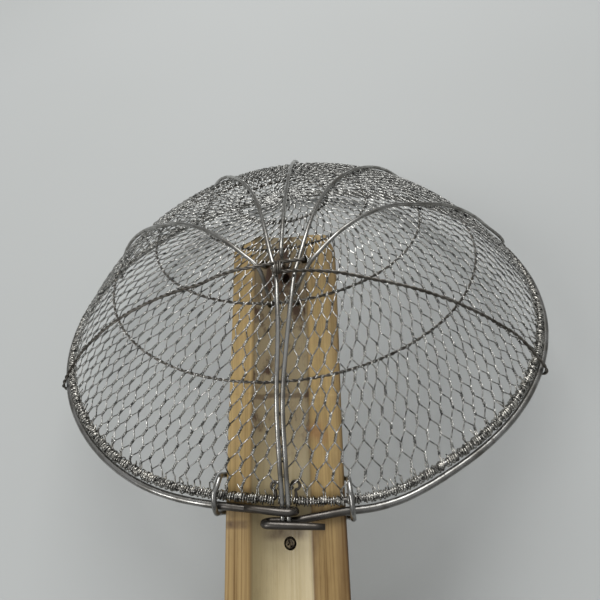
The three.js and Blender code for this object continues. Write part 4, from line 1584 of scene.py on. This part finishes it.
@dataclass
class CrossWires:
    """Dark twisted wires across the hub, with the tie round their ends."""

    bowl: Bowl
    lays: dict[str, CrossLay] = field(default_factory=lambda: {
        "cross_wire_left": CrossLay(-1.0, 116.8, (12.0, 4.2), 1.9, 0.85),
        "cross_wire_right": CrossLay(1.0, 119.8, (-0.5, 0.3), 0.3, -0.85),
    })
    step: float = 9.0
    plan_pieces: int = 24
    path_pieces: int = 8
    rise_near: float = 16.0
    rise_far: float = 38.0
    twist: float = 6.4
    twist_steps: int = 10
    sides: int = 8
    tie_place: Span = (1.9, 1.6)
    tie_half: float = 0.9
    tie_turns: float = 2.75
    tie_steps: int = 24
    tie_pieces: int = 2
    tie_flat: float = 1.6
    tie_pitch: float = 1.08
    tie_tight: float = 0.92

    def path(self, lay: CrossLay) -> Points:
        """Return the middle line of one cross wire.

        Args:
            lay: How it lies.

        Returns:
            Points of the line.
        """
        bowl = self.bowl
        plan = refine([
            (lay.tip[0], lay.tip[1] - bowl.hub, 0.0),
            (bowl.hub_centre + lay.side * self.rise_near, lay.shift - bowl.hub, 0.0),
            bowl.landing(lay.side * lay.end),
        ], self.plan_pieces)
        lift = bowl.hub_lift + lay.raised
        points = []
        for p in resample(plan, self.step):
            near = smoothstep(abs(p[0] - bowl.hub_centre), self.rise_near, self.rise_far)
            points.append(bowl.on_dome(p[0], p[1], lift + (bowl.cross_lift - lift) * near))
        return refine(points + bowl.rim_hook(lay.side * lay.end, bowl.cross_radius), self.path_pieces)

    def twisted(self, path: Points) -> MeshBag:
        """Return two strands wound along a path.

        Args:
            path: The middle line.

        Returns:
            The mesh of both strands.
        """
        fine = resample(path, self.twist / self.twist_steps)
        tangent = unit(np.gradient(fine, axis=0))
        across = carry(tangent)
        turn = np.arange(len(fine)) * (2 * math.pi / self.twist_steps)
        bag = MeshBag()
        bag.twist(fine, across, np.cross(tangent, across), turn, self.bowl.cross_radius / 2, self.sides)
        return bag

    def tie(self) -> MeshBag:
        """Return the tie wire, wound round both cross wires.

        Returns:
            The mesh of the tie.
        """
        bowl = self.bowl
        x, y = self.tie_place[0], self.tie_place[1] - bowl.hub
        centre = bowl.on_dome(x, y, bowl.hub_lift)
        up = bowl.on_dome(x, y, bowl.hub_lift + 1) - centre
        along = unit(np.cross(up, (1.0, 0.0, 0.0)))
        reach = bowl.tie_reach * self.tie_tight
        pitch = bowl.tie_wire * self.tie_pitch
        points = []
        for turn in np.arange(int(self.tie_turns * self.tie_steps) + 1) / self.tie_steps:
            angle = 2 * math.pi * turn
            flat = max(-1.0, min(1.0, math.cos(angle) * self.tie_flat)) * self.tie_half
            aside = np.array([(turn - self.tie_turns / 2) * pitch, 0.0, 0.0])
            ahead = along * (flat + reach * math.cos(angle))
            points.append(centre + aside + ahead + up * reach * math.sin(angle))
        bag = MeshBag()
        bag.sweep(refine(points, self.tie_pieces), bowl.tie_wire / 2, self.sides)
        return bag

    def build(self) -> None:
        """Build and dress the cross wires and their tie."""
        dark = DARK_STEEL.material()
        where = self.bowl.matrix()
        for node, lay in self.lays.items():
            finish_piece(self.twisted(self.path(lay)), f"{node}_twist", node, dark, where)
        finish_piece(self.tie(), "hub_tie_wire", "hub_tie", dark, where)


@dataclass
class Lashing:
    """The closed wire loop that holds the slat against both hoops."""

    bowl: Bowl
    wire_scale: float = 1.15
    sides: int = 12
    pieces: int = 8
    left_shift: float = 2.8
    left_tuck: float = 0.055
    right_tuck: float = 0.03
    tuck_shares: tuple[float, ...] = (1.0, 0.6, 0.0, 0.0, 0.0)
    over_shifts: tuple[Span, ...] = ((-0.4, 1.2), (2.4, -0.2), (0.0, 0.1), (0.0, 0.9), (0.5, 1.0))
    edge_play: float = 0.2
    rim_gap: float = 0.6
    net_gap: float = 2.6
    outer_inset: float = 0.2
    inner_inset: float = 1.2
    corner_inset: float = 0.4
    corner_drop: float = 0.7
    flat_reach: float = 4.0
    flat_drop: float = 0.1
    back_gap: float = 0.2

    def hoop_place(self, r: float, z: float) -> Span:
        """Return a hoop's place along and out of the slat beside its edge.

        Args:
            r: The hoop's radius.
            z: Its height.

        Returns:
            The place along and out.
        """
        bowl = self.bowl
        back = bowl.radius - math.sqrt(r * r - bowl.lash_side ** 2)
        rise = z - bowl.slat_rise
        c, s = math.cos(bowl.slat_slope), math.sin(bowl.slat_slope)
        return back * c + rise * s, -back * s + rise * c

    def path(self) -> Points:
        """Return the loop's centre line.

        Returns:
            Points of the closed line.
        """
        bowl, slat = self.bowl, self.bowl.slat
        rim_along, rim_out = self.hoop_place(bowl.radius, 0.0)
        edge_along, edge_out = self.hoop_place(bowl.edge_radius, bowl.edge_height)
        seat = bowl.clearance + bowl.lashing_radius
        over_rim = bowl.rim_radius + seat
        over_edge = bowl.wrap_outer + seat + self.edge_play
        outer = rim_along - over_rim - self.rim_gap
        inner = edge_along + over_edge + self.net_gap
        seats = (
            (inner, edge_out),
            (edge_along, edge_out + over_edge),
            (edge_along, edge_out + over_edge),
            (rim_along, rim_out + over_rim),
            (outer, rim_out),
        )
        middle = -slat.thickness - seat - self.back_gap
        corner = -slat.edge - seat - self.corner_drop

        def place(x: float, along: float, out: float) -> Points:
            """Return a point of the loop, higher up the slat on the left."""
            shift = self.left_shift * (0.5 - 0.5 * x / bowl.lash_side)
            return bowl.by_slat(x, along + shift, out)

        def over(x: float, tuck: float) -> list[Points]:
            """Return the run over both hoops on one side."""
            return [
                place(x * (1 - tuck * share), along + ahead, out + rise)
                for share, (along, out), (ahead, rise) in zip(self.tuck_shares, seats, self.over_shifts)
            ]

        def under(along: float, side: float, inset: float) -> list[Points]:
            """Return the run behind the slat.

            Args:
                along: Its place along the slat.
                side: Minus one where it starts on the left, one on the right.
                inset: How far it draws in beside the slat.

            Returns:
                Points of the run.
            """
            half = [
                (bowl.lash_side - inset, -slat.edge / 2),
                (slat.width / 2 - self.corner_inset, corner),
                (slat.back_flat / 2 + self.flat_reach, middle - self.flat_drop),
            ]
            across = [*half, (0.0, middle), *((-x, out) for x, out in reversed(half))]
            return [place(side * x, along, out) for x, out in across]

        loop = over(-bowl.lash_side, self.left_tuck) + under(outer, -1.0, self.outer_inset)
        loop += over(bowl.lash_side, self.right_tuck)[::-1] + under(inner, 1.0, self.inner_inset)
        return refine(loop, self.pieces, closed=True)

    def build(self) -> None:
        """Build and dress the lashing."""
        bag = MeshBag()
        bag.sweep(self.path(), self.bowl.lashing_radius * self.wire_scale, self.sides, closed=True)
        steel = RIM_STEEL.material()
        finish_piece(bag, "handle_lashing_wire", "handle_lashing", steel, self.bowl.matrix())


@dataclass
class Handle:
    """Split-bamboo slat and its screw. Millimetres in the slat's frame."""

    bowl: Bowl
    ribs: Ribs
    strip_points: int = 7
    channel_points: int = 21
    edge_points: int = 4
    back_points: int = 8
    edge_break: float = 0.8
    edge_round: float = 0.25
    edge_top: float = 1.6
    lip_gap: float = 0.4
    channel_step: float = 0.12
    back_part: float = 0.88
    left_cut: Span = (11.5, 7.0)
    right_cut: Span = (3.6, 7.5)
    grip_cut: Span = (7.0, 7.0)
    station: float = 2.5
    end_round: float = 0.4
    end_shrink: float = 0.25
    wave: float = 0.05
    wave_across: float = 1.7
    wave_along: float = 0.05
    end_skew: float = 3.4
    end_run: float = 30.0
    screw_place: Span = (1.5, -7.3)
    screw_bore: Span = (2.3, 4.2)
    rib_bore: float = 1.7
    bore_over: float = 3.0
    bore_past: float = 2.0
    bore_sides: int = 20
    hub_gouges: tuple[tuple[float, float, float, float], ...] = (
        (-6.6, 101.6, 1.9, 5.0), (1.8, 94.9, 2.1, 6.0), (11.0, 102.0, 1.8, 4.0)
    )
    sharp: float = math.radians(35)

    def section(self) -> Points:
        """Return the closed outline across the slat, front face first.

        Returns:
            Across and out of each point.
        """
        slat = self.bowl.slat
        half, lip, flat = slat.width / 2, slat.channel_width / 2, slat.back_flat / 2
        face = half - self.edge_break
        middle, shoulder = slat.channel_place, lip + self.lip_gap
        points = [(x, 0.0) for x in np.linspace(-face, middle - shoulder, self.strip_points)]
        for part in np.linspace(-1.0, 1.0, self.channel_points):
            depth = slat.channel_depth * (1 - part * part) + self.channel_step
            points.append((middle + part * lip, -depth))
        points += [(x, 0.0) for x in np.linspace(middle + shoulder, face, self.strip_points)]
        right = [(half - self.edge_round, -self.edge_round), (half, -self.edge_break)]
        right += [(half, -z) for z in np.linspace(self.edge_top, slat.edge, self.edge_points)]
        drop = slat.thickness - slat.edge
        for part in np.linspace(self.back_part, 0.0, self.back_points):
            right.append((flat + (half - flat) * part, -slat.edge - drop * (1 - part * part)))
        return np.array(points + right + [(-x, z) for x, z in reversed(right)])

    def limits(self, along: float) -> Span:
        """Return the left and right edge of the slat at a place along it.

        Args:
            along: The place.

        Returns:
            Both edges.
        """
        half = self.bowl.slat.width / 2
        from_inner = self.bowl.slat_inner - along
        from_grip = self.bowl.slat.length - from_inner

        def cut(width: float, length: float, distance: float) -> float:
            """Return how much a corner cut takes off."""
            return width * max(0.0, 1 - distance / length)

        grip = cut(*self.grip_cut, from_grip)
        left, right = (max(cut(*corner, from_inner), grip) for corner in (self.left_cut, self.right_cut))
        return left - half, half - right

    def slat(self) -> MeshBag:
        """Return the slat with cut corners and softly uneven faces.

        Returns:
            The mesh, before its bores are cut.
        """
        slat = self.bowl.slat
        across, out = self.section()[::-1].T
        stop = self.bowl.slat_inner
        start = stop - slat.length
        stations = sorted({
            *np.linspace(start, stop, int(slat.length / self.station)).tolist(),
            start + self.end_round, stop - self.end_round,
            stop - self.left_cut[1], stop - self.right_cut[1], start + self.grip_cut[1],
        })
        rows = []
        for along in stations:
            left, right = self.limits(along)
            ends = min(along - start, stop - along)
            shrink = self.end_shrink * max(0.0, 1 - ends / self.end_round)
            x = np.clip(across, left + shrink, right - shrink)
            wave = self.wave * np.sin(across * self.wave_across + along * self.wave_along)
            z = out + wave * (out > -self.wave)
            z = np.where(z > -self.wave - shrink, z - shrink, z)
            lean = slat.lean_out * smoothstep(along, 0.0, stop)
            skew = self.end_skew * smoothstep(along, stop - self.end_run, stop)
            rows.append(np.column_stack([x + lean, along + skew * (0.5 - x / slat.width), z]))
        bag = MeshBag()
        bag.skin(np.array(rows))
        return bag

    def bores(self) -> list[tuple[float, float, float, float]]:
        """Return across, along, radius and depth of each bore.

        Returns:
            The bores of screw and ribs, and the gouges at the hub.
        """
        ribs, slat = self.ribs, self.bowl.slat
        through = slat.thickness + self.bore_past
        let_in = slat.channel_depth + ribs.hole_depth
        return [
            (*self.screw_place, *self.screw_bore),
            (ribs.hole_left, ribs.hole_reach, self.rib_bore, through),
            (ribs.hole_right, ribs.hole_reach, self.rib_bore, through),
            (self.bowl.hub_centre, ribs.centre_along(), self.rib_bore, let_in),
            *self.hub_gouges,
        ]

    def drill(self, slat: bpy.types.Object) -> None:
        """Cut the bores into the slat's mesh.

        Args:
            slat: The slat.
        """
        drills = MeshBag()
        for across, along, radius, depth in self.bores():
            line = np.array([(across, along, self.bore_over), (across, along, -depth)])
            drills.sweep(line, radius, self.bore_sides)
        cutter = drills.to_object("drills", slat.data.materials[0], self.bowl.slat_matrix(), bake=False)
        step = slat.modifiers.new("bores", "BOOLEAN")
        step.operation = "DIFFERENCE"
        step.solver = "EXACT"
        step.object = cutter
        bpy.context.view_layer.update()
        graph = bpy.context.evaluated_depsgraph_get()
        drilled = bpy.data.meshes.new_from_object(slat.evaluated_get(graph))
        slat.modifiers.clear()
        slat.data = drilled
        bpy.data.objects.remove(cutter)

    def build(self) -> None:
        """Build the slat and dress the screw."""
        slat = finish_piece(
            self.slat(), "bamboo_slat", "handle_slat",
            BambooFinish().material(self.bowl.slat), self.bowl.slat_matrix(), bake=False,
        )
        self.drill(slat)
        slat.data.set_sharp_from_angle(angle=self.sharp)
        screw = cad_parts["handle_screw"]
        screw.data.materials.clear()
        screw.data.materials.append(SCREW_STEEL.material())
        LOG.info("%s: its solid dressed", screw.name)


@dataclass(frozen=True)
class Softbox:
    """One round area lamp: its place and size in metres, and its power."""

    name: str
    place: Place
    size: float
    power: float

    def light(self, aim: Place) -> None:
        """Add the lamp to the scene.

        Args:
            aim: The place it shines at.
        """
        data = bpy.data.lights.new(self.name, "AREA")
        data.shape = "DISK"
        data.size = self.size
        data.energy = self.power
        made = bpy.data.objects.new(self.name, data)
        bpy.context.scene.collection.objects.link(made)
        made.location = self.place
        made.rotation_euler = (Vector(aim) - Vector(self.place)).to_track_quat("-Z", "Y").to_euler()


@dataclass
class Stage:
    """Floor, light and the photograph's camera. The view is given in bowl radii in the bowl's frame."""

    bowl: Bowl
    eye: Place = (0.2338, -1.648, 1.3063)
    forward: Place = (-0.1074, 0.7757, -0.6219)
    down: Place = (-0.0698, -0.6298, -0.7736)
    focal: float = 471.2
    frame_size: float = 600.0
    sensor: float = 36.0
    nearest: float = 0.01
    floor_half: float = 3000.0
    back_lamp: Softbox = Softbox("back_softbox", (0.05, 1.0, 1.3), 1.2, 19.0)
    side_lamp: Softbox = Softbox("side_softbox", (-0.9, -0.5, 1.0), 0.6, 6.4)
    lamp_aim: Place = (0.0, 0.1, 0.05)
    horizon: Colour = (0.12, 0.12, 0.12)
    zenith: Colour = (0.53, 0.54, 0.55)
    sky: Span = (-0.1, 0.9)

    def camera(self) -> None:
        """Set the camera where the photograph was taken."""
        data = bpy.data.cameras.new("photo_camera")
        data.sensor_width = self.sensor
        data.sensor_fit = "HORIZONTAL"
        data.lens = self.focal / self.frame_size * self.sensor
        data.clip_start = self.nearest
        made = bpy.data.objects.new("photo_camera", data)
        bpy.context.scene.collection.objects.link(made)
        back = -Vector(self.forward).normalized()
        up = -Vector(self.down)
        up = (up - back * up.dot(back)).normalized()
        turn = Matrix((up.cross(back), up, back)).transposed().to_4x4()
        where = Matrix.Translation(Vector(self.eye) * self.bowl.radius * MM)
        made.matrix_world = self.bowl.matrix() @ where @ turn
        bpy.context.scene.camera = made

    def floor(self) -> None:
        """Lay the pale floor."""
        bag = MeshBag()
        corners = [(-1.0, -1.0, 0.0), (1.0, -1.0, 0.0), (1.0, 1.0, 0.0), (-1.0, 1.0, 0.0)]
        bag.add(np.array(corners) * self.floor_half, [(0, 1, 2, 3)])
        bag.to_object("floor", FloorFinish().material(), Matrix.Identity(4))

    def room(self) -> None:
        """Set the soft light of the room, brighter from above."""
        world = bpy.data.worlds.new("soft_room")
        world.use_nodes = True
        graph = Graph(world.node_tree)
        up = graph.axis(graph.node("ShaderNodeTexCoord", out="Generated"), "Z").between(*self.sky)
        graph.feed(Color=graph.mix(up, self.horizon, self.zenith), Strength=1.0)
        bpy.context.scene.world = world

    def build(self) -> None:
        """Set the stage."""
        bpy.context.scene.view_settings.view_transform = "Standard"
        self.camera()
        self.floor()
        for lamp in (self.back_lamp, self.side_lamp):
            lamp.light(self.lamp_aim)
        self.room()


def main() -> None:
    """Build every sub-assembly in order."""
    logging.basicConfig(level=logging.INFO, format="%(name)s %(message)s")
    bowl = Bowl()
    hoops = Hoops(bowl)
    ribs = Ribs(bowl, hoops)
    builders: list[Callable[[], None]] = [
        Stage(bowl).build,
        Handle(bowl, ribs).build,
        hoops.build,
        Netting(bowl).build,
        ribs.build,
        CrossWires(bowl).build,
        Lashing(bowl).build,
    ]
    for build in builders:
        build()


if __name__ == "__main__":
    main()
